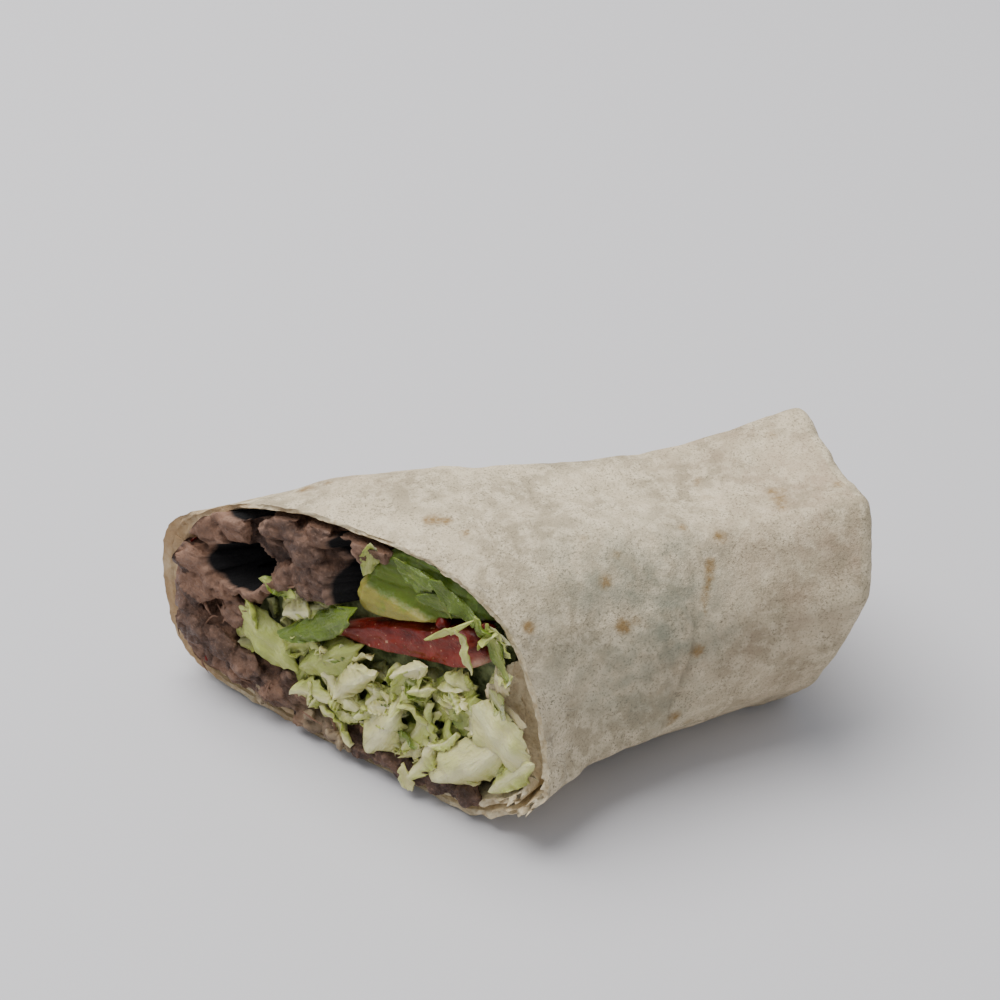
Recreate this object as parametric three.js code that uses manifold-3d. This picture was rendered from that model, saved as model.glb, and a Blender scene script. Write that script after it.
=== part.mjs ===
// One half of a rolled flour-tortilla wrap, cut on the bias and lying on its side.
// The tortilla is a soft tube, open at the slanted cut and folded shut at the far end.
// It holds chopped beef, shredded lettuce, a slice of avocado and a slice of tomato.
// Millimetres, +Z up, +Y from the cut to the folded end, the origin on the floor.

import * as THREE from 'three';
import { mergeVertices } from 'three/addons/utils/BufferGeometryUtils.js';
import Module from 'manifold-3d';

const wasm = await Module();
wasm.setup();
const { Manifold, Mesh: SolidMesh } = wasm;

// ---------------------------------------------------------------- driving dimensions

const LENGTH = 84.5;                 // along the middle of the roll, cut to folded end
const BIAS = 41;                     // degrees the knife was turned from square
const CUT_LEAN = 9.5;                // degrees the cut leans back at the top
const END_LEAN = 10.5;               // degrees the folded end leans out at the top
const MIDDLE_HEIGHT = 24;            // height about which both ends lean
const BASE_SINK = 0.8;               // how far the soft base has settled flat
const SETTLING_HEIGHT = 8;           // up to this height the sides settle with it

// The same fourteen places round the roll, from the near side over the top,
// as [across, up]: at the cut, and at the creases of the folded end.
const CUT_OUTLINE = [
  [32.2, 17.5], [28.2, 30.5], [22.3, 41], [12.2, 46.6], [0, 46.9], [-12, 45.1], [-24, 39.8],
  [-31.2, 29.4], [-30.2, 14], [-24.5, 3.5], [-8, 0.8], [8, 0], [24.2, 2], [33, 11],
];
const END_OUTLINE = [
  [21.3, 19.6], [23.7, 33.7], [18.9, 41.9], [14.1, 47.5], [0.4, 46.1], [-15.6, 46.5], [-20.5, 37.5],
  [-25.2, 27], [-25, 15], [-19.5, 5], [-9, 0.3], [0, 0], [8.9, 0.6], [17.4, 10.3],
];
const END_CREASING = 0.65;           // 0 is a smooth end outline, 1 one of straight folds
const CUT_HALF_WIDTH = 32;
const END_HALF_WIDTH = 24;
const ROLL_HEIGHT = 47;

// How the roll strays from a straight taper, at six even stations from cut to folded end.
const HEIGHT_CHANGE = [0, 0.7, -0.6, -2.4, -1.9, 0];
const HALF_WIDTH_CHANGE = [0, 0, -1.2, -2.4, -1.8, 0];
const SIDE_SHIFT = [0, -2.2, -1.2, -0.4, 0, 0];

const LAYER = 2.1;                   // one thickness of tortilla
const INNER_EDGE_TURN = 0.1;         // where the sheet starts, as a share of a turn
const SEAM_TURN = 0.46;              // where its outer edge lies, on the far side
const EDGE_FADE = 0.03;              // either side of an edge, its layer fades over this
const SEAM_STEP = 1.7;               // how far the surface steps in above the outer edge
const SEAM_SLOPE = 0.13;             // share of a turn over which it steps
const GAP = 0.35;                    // kept between neighbouring pieces
const CAP_THICKNESS = 6;             // the folded layers that shut the far end
const CAP_DISH = 5;                  // how deep the folded end dips
const FLAP_STEP = 2;                 // how far the lower flap lies over the upper one
const FLAP_SLOPE = 20;               // degrees the flap's edge slopes across the end
const PLEATS = 7;
const PLEAT_DEPTH = 0.6;
const RIM_RAGGED = 0.7;              // how uneven the knife left the tortilla

const AROUND = 56;                   // faces round the roll, four to each outline place
const OUTER_STATIONS = 15;
const INNER_STATIONS = 8;
const CAP_RINGS = [0.94, 0.8, 0.6, 0.4, 0.2];

// Outlines of the layers, [across, up] on the cut, each anticlockwise.
const TOMATO_OUTLINE = [
  [-3.3, 25.4], [-1.1, 23.7], [6, 25.2], [12.7, 27.2], [19.6, 30], [20.2, 34], [17.7, 36.6],
  [12, 34.3], [5.9, 31.4],
];
const AVOCADO_OUTLINE = [
  [0.6, 39], [1, 32.5], [6, 32], [12, 35], [17, 38], [21.8, 41], [18, 45], [12, 47], [6, 47],
  [2.4, 43],
];
const LETTUCE_OUTLINE = [
  [-17.3, 20.5], [-17, 13.5], [-9, 11], [-5, 8], [4, 6.8], [12, 6.6], [20, 7], [25, 8.5],
  [31, 14], [33, 24], [30, 36], [21.5, 42], [15, 34], [2, 31], [-8.5, 29], [-13.5, 27],
];

// Gaps between the meat pieces that go deep: [across, up, half width, half height].
const MEAT_GAPS = [
  [-18, 30, 4, 3], [-2, 41, 2.6, 1.9], [-1.6, 34.5, 1.8, 2.8], [-17, 39.6, 1.7, 1.2],
  [-10.6, 36, 1.6, 1.2],
];
const MEAT_GAP_DEPTH = 9;
const MEAT_PIECES = 36;
const MEAT_SIZE = [2.6, 4.6];        // least and greatest radius of a chopped piece
const MEAT_ROUGHNESS = [0.78, 1.18]; // how its surface strays from round
const MEAT_HANGS_BELOW = 12;         // up to this height the meat hangs over the tortilla
const MEAT_KEPT_IN = 0.9;            // above it, within this share of the roll's outline
const SHREDS = 24;
const SHRED_LENGTH = [9, 17];
const SHRED_WIDTH = [2.2, 4.2];
const LEAVES = 7;
const LEAF_SIZE = [10, 15];
const LEAF_THICKNESS = 0.9;
const LEAF_WAVES = [0.9, 1.2];       // how deep a leaf waves along and across
const LEAF_TILTS = [0.7, 0.5];       // how far it leans out and aside, in radians
const FILLING_RECESS = 1.2;          // the packed filling lies this far behind the cut
const FRONT_REACH = 9;               // no filling stands further out of the cut than this

// ---------------------------------------------------------------- small helpers

const rad = THREE.MathUtils.degToRad;
const mix = THREE.MathUtils.lerp;
const smooth = (value, from, to) => THREE.MathUtils.smoothstep(value, from, to);

function seededRandom(seed) {
  let state = seed;
  return () => {
    state = (state * 1664525 + 1013904223) % 4294967296;
    return state / 4294967296;
  };
}

// A smooth curve from b to c, with a before them and d after.
function curveBetween([a, b, c, d], f) {
  return 0.5 * (2 * b + (c - a) * f + (2 * a - 5 * b + 4 * c - d) * f * f
    + (3 * b - a - 3 * c + d) * f * f * f);
}

// A point on a closed list of places: a smooth curve through them, or the straight folds.
function placeOn(places, turn, creasing) {
  const count = places.length;
  const where = (((turn % 1) + 1) % 1) * count;
  const first = Math.floor(where) % count;
  const f = where - Math.floor(where);
  const near = [-1, 0, 1, 2].map((step) => places[(first + step + count) % count]);
  return [0, 1].map((axis) => {
    const values = near.map((place) => place[axis]);
    return mix(curveBetween(values, f), mix(values[1], values[2], f), creasing);
  });
}

// A value at a station (0 to 1) from a list of values at even stations.
function alongRoll(list, station) {
  const last = list.length - 1;
  const first = Math.min(Math.floor(station * last), last - 1);
  const near = [-1, 0, 1, 2].map((step) => list[Math.min(Math.max(first + step, 0), last)]);
  return curveBetween(near, station * last - first);
}

// ---------------------------------------------------------------- solids

function toSolid(geometry) {
  const bare = geometry.clone();
  bare.deleteAttribute('normal');
  bare.deleteAttribute('uv');
  const merged = mergeVertices(bare, 1e-4);
  return new Manifold(new SolidMesh({
    numProp: 3,
    vertProperties: new Float32Array(merged.attributes.position.array),
    triVerts: new Uint32Array(merged.index.array),
  }));
}

function toGeometry(solid) {
  const { vertProperties, triVerts } = solid.getMesh();
  const geometry = new THREE.BufferGeometry();
  geometry.setAttribute('position', new THREE.BufferAttribute(vertProperties, 3));
  geometry.setIndex(new THREE.BufferAttribute(triVerts, 1));
  geometry.computeVertexNormals();
  return geometry;
}

// The largest body of a cut solid, with loose scraps dropped and sealed hollows filled.
function largestBody(solid) {
  return solid.decompose().reduce((best, body) => (body.volume() > best.volume() ? body : best));
}

// A closed skin over rings of points with a single point at each end.
function skin(startPoint, rings, endPoint) {
  const points = [startPoint, ...rings.flat(), endPoint];
  const faces = [];
  const count = rings[0].length;
  const at = (ring, i) => 1 + ring * count + (i % count);
  for (let i = 0; i < count; i += 1) {
    faces.push(0, at(0, i), at(0, i + 1));
    for (let ring = 0; ring + 1 < rings.length; ring += 1) {
      faces.push(at(ring, i), at(ring + 1, i + 1), at(ring, i + 1));
      faces.push(at(ring, i), at(ring + 1, i), at(ring + 1, i + 1));
    }
    faces.push(points.length - 1, at(rings.length - 1, i + 1), at(rings.length - 1, i));
  }
  const geometry = new THREE.BufferGeometry();
  geometry.setAttribute('position', new THREE.Float32BufferAttribute(points.flat(), 3));
  geometry.setIndex(faces);
  return geometry;
}

// ---------------------------------------------------------------- the roll's shape

const cutY = (x, z) => -LENGTH / 2 + x * Math.tan(rad(BIAS))
  + (z - MIDDLE_HEIGHT) * Math.tan(rad(CUT_LEAN));
const endY = (z) => LENGTH / 2 + (z - MIDDLE_HEIGHT) * Math.tan(rad(END_LEAN));

// Layers of tortilla at a turn: two where the sheet laps over its own start, else one.
function layersAt(turn) {
  const single = smooth(turn, INNER_EDGE_TURN - EDGE_FADE, INNER_EDGE_TURN + EDGE_FADE)
    * (1 - smooth(turn, SEAM_TURN - EDGE_FADE, SEAM_TURN + EDGE_FADE));
  return 2 - single;
}

// Just above the seam the outer edge ends, so the surface steps in by one layer.
function seamStep(turn) {
  return turn <= SEAM_TURN ? SEAM_STEP * smooth(turn, SEAM_TURN - SEAM_SLOPE, SEAM_TURN) : 0;
}

// A point of the roll at a turn (0 to 1) and a station (0 the cut, 1 the folded end),
// moved in towards the middle by the inset.
function rollPoint(turn, station, inset) {
  const atCut = placeOn(CUT_OUTLINE, turn, 0);
  const atEnd = placeOn(END_OUTLINE, turn, END_CREASING);
  const halfWidth = mix(CUT_HALF_WIDTH, END_HALF_WIDTH, station);
  const across = mix(atCut[0], atEnd[0], station) * (1 - inset / halfWidth);
  const up = MIDDLE_HEIGHT + (mix(atCut[1], atEnd[1], station) - MIDDLE_HEIGHT)
    * (1 - inset / MIDDLE_HEIGHT);
  const width = 1 + alongRoll(HALF_WIDTH_CHANGE, station) / halfWidth;
  const height = 1 + alongRoll(HEIGHT_CHANGE, station) / ROLL_HEIGHT;
  const x = across * width + alongRoll(SIDE_SHIFT, station);
  const settled = BASE_SINK * (1 - smooth(up, 0, SETTLING_HEIGHT));
  const z = Math.max(up * height - settled, 0);
  return [x, mix(cutY(across, up), endY(up), station), z];
}

const TURNS = Array.from({ length: AROUND }, (_, i) => i / AROUND);
const ringOf = (pointAt) => TURNS.map(pointAt);

// ---------------------------------------------------------------- tortilla

function outerPoint(turn, station) {
  return rollPoint(turn, station, seamStep(turn));
}

// The folded end: a shallow dish, pleated between its creases, where the lower flap
// lies over the upper one. The share runs from 0 in the middle to 1 at the creases.
function capPoint(turn, share) {
  const rim = outerPoint(turn, 1);
  const [x, z] = [rim[0] * share, mix(MIDDLE_HEIGHT, rim[2], share)];
  const dish = CAP_DISH * (1 - share ** 2);
  const belowEdge = (MIDDLE_HEIGHT - z) * Math.cos(rad(FLAP_SLOPE)) - x * Math.sin(rad(FLAP_SLOPE));
  const flap = FLAP_STEP * smooth(belowEdge, -FLAP_STEP, FLAP_STEP) * (1 - share ** 4);
  const pleat = PLEAT_DEPTH * Math.cos(2 * Math.PI * PLEATS * turn) * 4 * share * (1 - share);
  return [x, endY(z) - dish + flap + pleat, z];
}

function makeTortilla() {
  const ragged = (turn) => RIM_RAGGED * (0.5 + 0.3 * Math.sin(2 * Math.PI * 9 * turn)
    + 0.2 * Math.sin(2 * Math.PI * 23 * turn + 1));
  const innerInset = (turn) => LAYER * layersAt(turn);
  const rings = [];
  for (let i = INNER_STATIONS; i >= 0; i -= 1) {
    const station = (1 - CAP_THICKNESS / LENGTH - CAP_DISH / LENGTH) * (i / INNER_STATIONS);
    rings.push(ringOf((turn) => {
      const [x, y, z] = rollPoint(turn, station, innerInset(turn));
      return [x, y + (i === 0 ? ragged(turn) : 0), z];
    }));
  }
  for (let i = 0; i < OUTER_STATIONS; i += 1) {
    const station = i / OUTER_STATIONS;
    rings.push(ringOf((turn) => {
      const [x, y, z] = outerPoint(turn, station);
      return [x, y + (i === 0 ? ragged(turn) : 0), z];
    }));
  }
  rings.push(ringOf((turn) => outerPoint(turn, 1)));
  for (const share of CAP_RINGS) rings.push(ringOf((turn) => capPoint(turn, share)));
  const innerEnd = endY(MIDDLE_HEIGHT) - CAP_DISH - CAP_THICKNESS;
  return skin([0, innerEnd, MIDDLE_HEIGHT], rings, capPoint(0, 0));
}

// ---------------------------------------------------------------- room for the filling

// Everything inside the tortilla, and in front of the cut out to the roll's own outline,
// clear of the floor.
function makeRoom() {
  const ahead = (distance, inset) => ringOf((turn) => {
    const [x, y, z] = rollPoint(turn, 0, inset(turn));
    return [x, y - distance, Math.max(z, 2 * GAP)];
  });
  const walled = (turn) => LAYER * layersAt(turn) + GAP;
  const bare = () => GAP;
  const rings = [ahead(FRONT_REACH, bare), ahead(1.5 * GAP, bare), ahead(1.4 * GAP, walled)];
  const lastStation = 1 - (CAP_THICKNESS + CAP_DISH + 2 * GAP) / LENGTH;
  for (let i = 1; i <= INNER_STATIONS; i += 1) {
    const station = lastStation * (i / INNER_STATIONS);
    rings.push(ringOf((turn) => rollPoint(turn, station, walled(turn))));
  }
  const front = [0, cutY(0, MIDDLE_HEIGHT) - FRONT_REACH, MIDDLE_HEIGHT];
  const back = [0, endY(MIDDLE_HEIGHT) - CAP_DISH - CAP_THICKNESS - 2 * GAP, MIDDLE_HEIGHT];
  return toSolid(skin(front, rings, back));
}

// A layer's outline run the whole length of the roll, grown sideways by a margin.
function makeLayer(outline, margin) {
  const steps = outline.length * 3;
  const points = Array.from({ length: steps }, (_, i) => {
    const [before, here, after] = [-0.5, 0, 0.5].map((k) => placeOn(outline, (i + k) / steps, 0));
    const along = new THREE.Vector2(after[0] - before[0], after[1] - before[1]).normalize();
    return new THREE.Vector2(here[0] + margin * along.y, here[1] - margin * along.x);
  });
  const depth = 3 * LENGTH;
  const geometry = new THREE.ExtrudeGeometry(new THREE.Shape(points), {
    depth, steps: 1, bevelEnabled: false,
  });
  geometry.rotateX(Math.PI / 2);
  geometry.translate(0, depth / 2, 0);
  return toSolid(geometry);
}

// Everything behind the cut by the given depth.
function makeBehindCut(depth) {
  const size = 4 * LENGTH;
  const block = new THREE.BoxGeometry(size, size, size);
  const frame = new THREE.Matrix4().makeBasis(
    new THREE.Vector3(1, Math.tan(rad(BIAS)), 0),
    new THREE.Vector3(0, 1, 0),
    new THREE.Vector3(0, Math.tan(rad(CUT_LEAN)), 1),
  );
  block.translate(0, size / 2, 0);
  block.applyMatrix4(frame);
  block.translate(0, cutY(0, 0) + depth, 0);
  return toSolid(block);
}

// ---------------------------------------------------------------- pieces at the cut

// Places spread evenly over an area of the cut, each as far as can be from the others.
function spreadPlaces(count, random, isInside) {
  const places = [];
  while (places.length < count) {
    let best = null;
    for (let tries = 0; tries < 60; tries += 1) {
      const place = [mix(-1, 1, random()) * CUT_HALF_WIDTH, random() * ROLL_HEIGHT];
      if (isInside(place)) {
        const nearest = Math.min(99, ...places.map((p) => Math.hypot(p[0] - place[0], p[1] - place[1])));
        if (!best || nearest > best.nearest) best = { place, nearest };
      }
    }
    places.push(best.place);
  }
  return places;
}

function insideOutline([x, z], outline) {
  let inside = false;
  outline.forEach(([x1, z1], i) => {
    const [x0, z0] = outline[(i + outline.length - 1) % outline.length];
    if ((z1 > z) !== (z0 > z) && x < ((x0 - x1) * (z - z1)) / (z0 - z1) + x1) inside = !inside;
  });
  return inside;
}

// A chopped piece of meat: a lump with an uneven surface.
function makeLump(radius, random) {
  const geometry = mergeVertices(new THREE.IcosahedronGeometry(radius, 1)
    .deleteAttribute('normal').deleteAttribute('uv'), 1e-3);
  const position = geometry.attributes.position;
  const point = new THREE.Vector3();
  for (let i = 0; i < position.count; i += 1) {
    point.fromBufferAttribute(position, i).multiplyScalar(mix(...MEAT_ROUGHNESS, random()));
    position.setXYZ(i, point.x, point.y, point.z);
  }
  geometry.scale(1, mix(0.6, 1, random()), mix(0.7, 1, random()));
  return geometry;
}

// A thin wavy piece of leaf, centred on its own middle: width along X, length along Z.
function makeLeaf(width, length, columns, rows, random) {
  const phase = 6.3 * random();
  const waves = mix(1, 2, random());
  const front = [];
  const back = [];
  for (let row = 0; row <= rows; row += 1) {
    for (let column = 0; column <= columns; column += 1) {
      const [u, v] = [column / columns - 0.5, row / rows - 0.5];
      const taper = 1 - 0.5 * (2 * v) ** 2;
      const wave = LEAF_WAVES[0] * Math.sin(2 * Math.PI * waves * v + phase)
        + LEAF_WAVES[1] * Math.cos(2 * Math.PI * u + phase);
      front.push([u * width * taper, wave - LEAF_THICKNESS / 2, v * length]);
      back.push([u * width * taper, wave + LEAF_THICKNESS / 2, v * length]);
    }
  }
  const at = (row, column) => row * (columns + 1) + column;
  const other = front.length;
  const faces = [];
  const quad = (a, b, c, d) => faces.push(a, b, c, a, c, d);
  for (let row = 0; row < rows; row += 1) {
    for (let column = 0; column < columns; column += 1) {
      const [a, b] = [at(row, column), at(row, column + 1)];
      const [c, d] = [at(row + 1, column + 1), at(row + 1, column)];
      quad(a, b, c, d);
      faces.push(other + a, other + c, other + b, other + a, other + d, other + c);
    }
    const [left, right] = [[at(row, 0), at(row + 1, 0)], [at(row, columns), at(row + 1, columns)]];
    quad(left[0], left[1], other + left[1], other + left[0]);
    quad(right[1], right[0], other + right[0], other + right[1]);
  }
  for (let column = 0; column < columns; column += 1) {
    const [low, high] = [[at(0, column), at(0, column + 1)], [at(rows, column), at(rows, column + 1)]];
    quad(low[1], low[0], other + low[0], other + low[1]);
    quad(high[0], high[1], other + high[1], other + high[0]);
  }
  const geometry = new THREE.BufferGeometry();
  geometry.setAttribute('position', new THREE.Float32BufferAttribute([...front, ...back].flat(), 3));
  geometry.setIndex(faces);
  return geometry;
}

// Turns a piece about its middle and sets it on the cut, out of it by a distance.
function setOnCut(geometry, [x, z], out, [tiltX, tiltY, tiltZ]) {
  geometry.rotateY(tiltY).rotateX(tiltX).rotateZ(tiltZ + rad(BIAS));
  geometry.translate(x, cutY(x, z) - out, z);
  return toSolid(geometry);
}

// ---------------------------------------------------------------- fillings

const room = makeRoom();
const behindCut = makeBehindCut(FILLING_RECESS);
const tomatoLayer = makeLayer(TOMATO_OUTLINE, 0);
const avocadoLayer = makeLayer(AVOCADO_OUTLINE, 0).subtract(makeLayer(TOMATO_OUTLINE, GAP));
const greensLayer = makeLayer(LETTUCE_OUTLINE, 0)
  .subtract(makeLayer(TOMATO_OUTLINE, GAP))
  .subtract(makeLayer(AVOCADO_OUTLINE, GAP));

function makeSlice(layer, depth) {
  return largestBody(room.intersect(layer).intersect(makeBehindCut(depth)));
}

function makeLettuce() {
  const random = seededRandom(11);
  const space = room.intersect(greensLayer);
  let lettuce = space.intersect(behindCut);
  const isLettuce = (place) => insideOutline(place, LETTUCE_OUTLINE)
    && !insideOutline(place, TOMATO_OUTLINE) && !insideOutline(place, AVOCADO_OUTLINE);
  spreadPlaces(SHREDS + LEAVES, random, isLettuce).forEach((place, i) => {
    const isLeaf = i < LEAVES;
    const length = mix(...(isLeaf ? LEAF_SIZE : SHRED_LENGTH), random());
    const width = isLeaf ? length * mix(0.6, 0.9, random()) : mix(...SHRED_WIDTH, random());
    const piece = isLeaf
      ? makeLeaf(width, length, 4, 5, random)
      : makeLeaf(width, length, 1, 8, random);
    const [leanOut, leanAside] = LEAF_TILTS.map((most) => most * mix(-1, 1, random()));
    const tilts = [leanOut, Math.PI * random(), leanAside];
    lettuce = lettuce.add(setOnCut(piece, place, mix(-0.5, 1.5, random()), tilts));
  });
  return largestBody(lettuce.intersect(space));
}

function makeBeef() {
  const random = seededRandom(7);
  const fillingsBeside = [TOMATO_OUTLINE, AVOCADO_OUTLINE, LETTUCE_OUTLINE];
  let space = room;
  for (const outline of fillingsBeside) space = space.subtract(makeLayer(outline, GAP));
  let beef = space.intersect(behindCut);
  const insideRoll = ([x, z]) => insideOutline([x, z], CUT_OUTLINE) && (z < MEAT_HANGS_BELOW
    || insideOutline([x / MEAT_KEPT_IN, mix(MIDDLE_HEIGHT, z, 1 / MEAT_KEPT_IN)], CUT_OUTLINE));
  const isBeef = (place) => insideRoll(place)
    && !fillingsBeside.some((outline) => insideOutline(place, outline));
  spreadPlaces(MEAT_PIECES, random, isBeef).forEach((place) => {
    const lump = makeLump(mix(...MEAT_SIZE, random()), random);
    const tilts = [0, 0, 0].map(() => Math.PI * random());
    beef = beef.add(setOnCut(lump, place, mix(-1.5, 0.8, random()), tilts));
  });
  for (const [x, z, halfWidth, halfHeight] of MEAT_GAPS) {
    const hole = makeLump(1, random);
    hole.scale(1.3 * halfWidth, MEAT_GAP_DEPTH, 1.3 * halfHeight);
    beef = beef.subtract(setOnCut(hole, [x, z], 0, [0, 0, 0]));
  }
  return largestBody(beef.intersect(space));
}

// ---------------------------------------------------------------- the wrap

function part(name, geometry, colour, roughness) {
  const material = new THREE.MeshStandardMaterial({ color: colour, roughness, metalness: 0 });
  const mesh = new THREE.Mesh(geometry, material);
  mesh.name = name;
  return mesh;
}

const wrap = new THREE.Group();
wrap.add(part('tortilla', makeTortilla(), 0xcfc4b2, 0.85));
wrap.add(part('beef', toGeometry(makeBeef()), 0x6b4f45, 0.6));
wrap.add(part('lettuce', toGeometry(makeLettuce()), 0xc3cf94, 0.5));
wrap.add(part('avocado', toGeometry(makeSlice(avocadoLayer, 0.2)), 0xa3b062, 0.5));
wrap.add(part('tomato', toGeometry(makeSlice(tomatoLayer, 0)), 0x9c3b34, 0.35));

// The origin goes under the middle of the whole, on the floor.
const box = new THREE.Box3().setFromObject(wrap);
wrap.position.set(-(box.min.x + box.max.x) / 2, -(box.min.y + box.max.y) / 2, -box.min.z);

export default wrap;
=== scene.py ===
# %% [markdown]
# # Half a tortilla wrap
# A soft flour tortilla is rolled round chopped beef, shredded lettuce, avocado and tomato,
# folded shut at one end and cut on the bias at the other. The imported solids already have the
# sizes and the places. This lesson gives each of them its real surface: one sheet that is
# truly rolled up, torn meat, leaves as thin as leaves, and wet slices.

import bisect
import functools
import math
import random

import bmesh
import bpy
from mathutils import Matrix, Vector, kdtree, noise


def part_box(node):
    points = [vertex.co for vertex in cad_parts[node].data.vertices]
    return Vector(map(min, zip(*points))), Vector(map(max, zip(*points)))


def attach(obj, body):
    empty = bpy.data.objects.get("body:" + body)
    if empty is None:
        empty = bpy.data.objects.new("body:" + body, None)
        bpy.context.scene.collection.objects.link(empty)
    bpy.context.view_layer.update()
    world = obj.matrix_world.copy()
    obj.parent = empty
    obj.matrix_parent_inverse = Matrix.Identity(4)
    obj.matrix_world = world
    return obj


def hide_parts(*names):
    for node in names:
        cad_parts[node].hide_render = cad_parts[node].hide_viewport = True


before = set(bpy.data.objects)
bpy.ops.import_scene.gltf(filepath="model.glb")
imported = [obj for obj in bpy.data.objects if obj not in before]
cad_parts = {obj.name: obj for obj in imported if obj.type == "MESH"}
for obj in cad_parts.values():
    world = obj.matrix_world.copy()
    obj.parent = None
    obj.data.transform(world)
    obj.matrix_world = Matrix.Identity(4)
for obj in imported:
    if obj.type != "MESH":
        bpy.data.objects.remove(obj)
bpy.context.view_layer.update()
MM = 0.001
print("nodes:", sorted(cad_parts))

# %% [markdown]
# ## The shape of the roll
# A wrap settles into a rounded box. Two outlines hold that shape, one at the cut and one at the
# creases of the folded end, each as fourteen places [across, up] in millimetres, listed from the
# near side over the top. Everything else is worked out between them, by the same rule that the
# solids were made by, so whatever is modelled here lies where its solid lies.

# %% Driving sizes
LENGTH = 84.5                # along the middle of the roll
BIAS = math.radians(41)      # the knife was turned this far from square
CUT_LEAN = math.radians(9.5)
END_LEAN = math.radians(10.5)
MIDDLE_HEIGHT = 24
BASE_SINK = 0.8              # how far the soft base has settled flat
SETTLING_HEIGHT = 8

CUT_OUTLINE = [
    (32.2, 17.5), (28.2, 30.5), (22.3, 41), (12.2, 46.6), (0, 46.9), (-12, 45.1), (-24, 39.8),
    (-31.2, 29.4), (-30.2, 14), (-24.5, 3.5), (-8, 0.8), (8, 0), (24.2, 2), (33, 11),
]
END_OUTLINE = [
    (21.3, 19.6), (23.7, 33.7), (18.9, 41.9), (14.1, 47.5), (0.4, 46.1), (-15.6, 46.5),
    (-20.5, 37.5), (-25.2, 27), (-25, 15), (-19.5, 5), (-9, 0.3), (0, 0), (8.9, 0.6), (17.4, 10.3),
]
END_CREASING = 0.65          # 0 is a smooth end outline, 1 one of straight folds
TUBE_CREASING = 0.1          # the same, where the roll is still round
FOLDS_FROM = 0.45            # station from which the folds show
CUT_HALF_WIDTH = 32
END_HALF_WIDTH = 24
ROLL_HEIGHT = 47
HEIGHT_CHANGE = [0, 0.7, -0.6, -2.4, -1.9, 0]
HALF_WIDTH_CHANGE = [0, 0, -1.2, -2.4, -1.8, 0]
SIDE_SHIFT = [0, -2.2, -1.2, -0.4, 0, 0]

LAYER = 2.1                  # room that one layer of tortilla takes
SHEET = 1.5                  # its thickness
INNER_EDGE_TURN = 0.1        # where the sheet starts, as a share of a turn
SEAM_TURN = 0.46             # where its outer edge lies, on the far side
SEAM_STEP = 1.7              # how far the surface steps in above the outer edge
SEAM_SLOPE = 0.13            # share of a turn over which it steps
FLAP_SLOPE = math.radians(20)
CAP_DISH = 5                 # how deep the folded end dips


# %% Helpers for smooth shapes
def mix(start, end, share):
    return start + (end - start) * share


def smooth(value, start, end):
    share = min(max((value - start) / (end - start), 0), 1)
    return share * share * (3 - 2 * share)


def curve_between(a, b, c, d, f):
    """A smooth curve from b to c, with a before them and d after."""
    return 0.5 * (2 * b + (c - a) * f + (2 * a - 5 * b + 4 * c - d) * f * f
                  + (3 * b - a - 3 * c + d) * f ** 3)


def place_on(places, turn, creasing=0):
    """A point on a closed list of places: on a smooth curve, or on the straight folds."""
    where = (turn % 1) * len(places)
    first, f = int(where), where - int(where)
    near = [places[(first + step) % len(places)] for step in (-1, 0, 1, 2)]
    return [mix(curve_between(*values, f), mix(values[1], values[2], f), creasing)
            for values in zip(*near)]


def along_roll(values, station):
    """A value at a station, 0 at the cut and 1 at the folded end."""
    last = len(values) - 1
    first = min(int(station * last), last - 1)
    near = [values[min(max(first + step, 0), last)] for step in (-1, 0, 1, 2)]
    return curve_between(*near, station * last - first)


print("middle of the cut outline's first side:", place_on(CUT_OUTLINE, 1 / 28))


# %% The roll as a function
@functools.lru_cache(maxsize=None)
def outline_places(turn):
    return (place_on(CUT_OUTLINE, turn), place_on(END_OUTLINE, turn, TUBE_CREASING),
            place_on(END_OUTLINE, turn, END_CREASING))


def cut_y(across, up):
    return -LENGTH / 2 + across * math.tan(BIAS) + (up - MIDDLE_HEIGHT) * math.tan(CUT_LEAN)


def end_y(up):
    return LENGTH / 2 + (up - MIDDLE_HEIGHT) * math.tan(END_LEAN)


def inside_point(across, up, station):
    """Carries a point of the cut's plane along the roll, as the roll narrows and sags."""
    half_width = mix(CUT_HALF_WIDTH, END_HALF_WIDTH, station)
    width = 1 + along_roll(HALF_WIDTH_CHANGE, station) / half_width
    height = 1 + along_roll(HEIGHT_CHANGE, station) / ROLL_HEIGHT
    settled = BASE_SINK * (1 - smooth(up, 0, SETTLING_HEIGHT))
    x = across * width + along_roll(SIDE_SHIFT, station)
    y = mix(cut_y(across, up), end_y(up), station)
    return Vector((x, y, max(up * height - settled, 0)))


def roll_point(turn, station, inset=0):
    """A point of the roll's surface, moved in towards the middle by the inset."""
    at_cut, rounded, creased = outline_places(turn)
    folded = smooth(station, FOLDS_FROM, 1)
    half_width = mix(CUT_HALF_WIDTH, END_HALF_WIDTH, station)
    across = mix(at_cut[0], mix(rounded[0], creased[0], folded), station)
    across *= 1 - inset / half_width
    up = mix(at_cut[1], mix(rounded[1], creased[1], folded), station)
    up = MIDDLE_HEIGHT + (up - MIDDLE_HEIGHT) * (1 - inset / MIDDLE_HEIGHT)
    return inside_point(across, up, station)


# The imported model's origin is under the middle of its box: the shift is measured from there.
RING_STEPS = 56
ring = [roll_point(step / RING_STEPS, station)
        for station in (0, 1) for step in range(RING_STEPS)]
_, wrap_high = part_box("tortilla")
SHIFT = Vector((
    wrap_high.x / MM - max(point.x for point in ring),
    wrap_high.y / MM - max(point.y for point in ring),
    0,
))
print("shift in mm:", [round(value, 2) for value in SHIFT])

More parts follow.
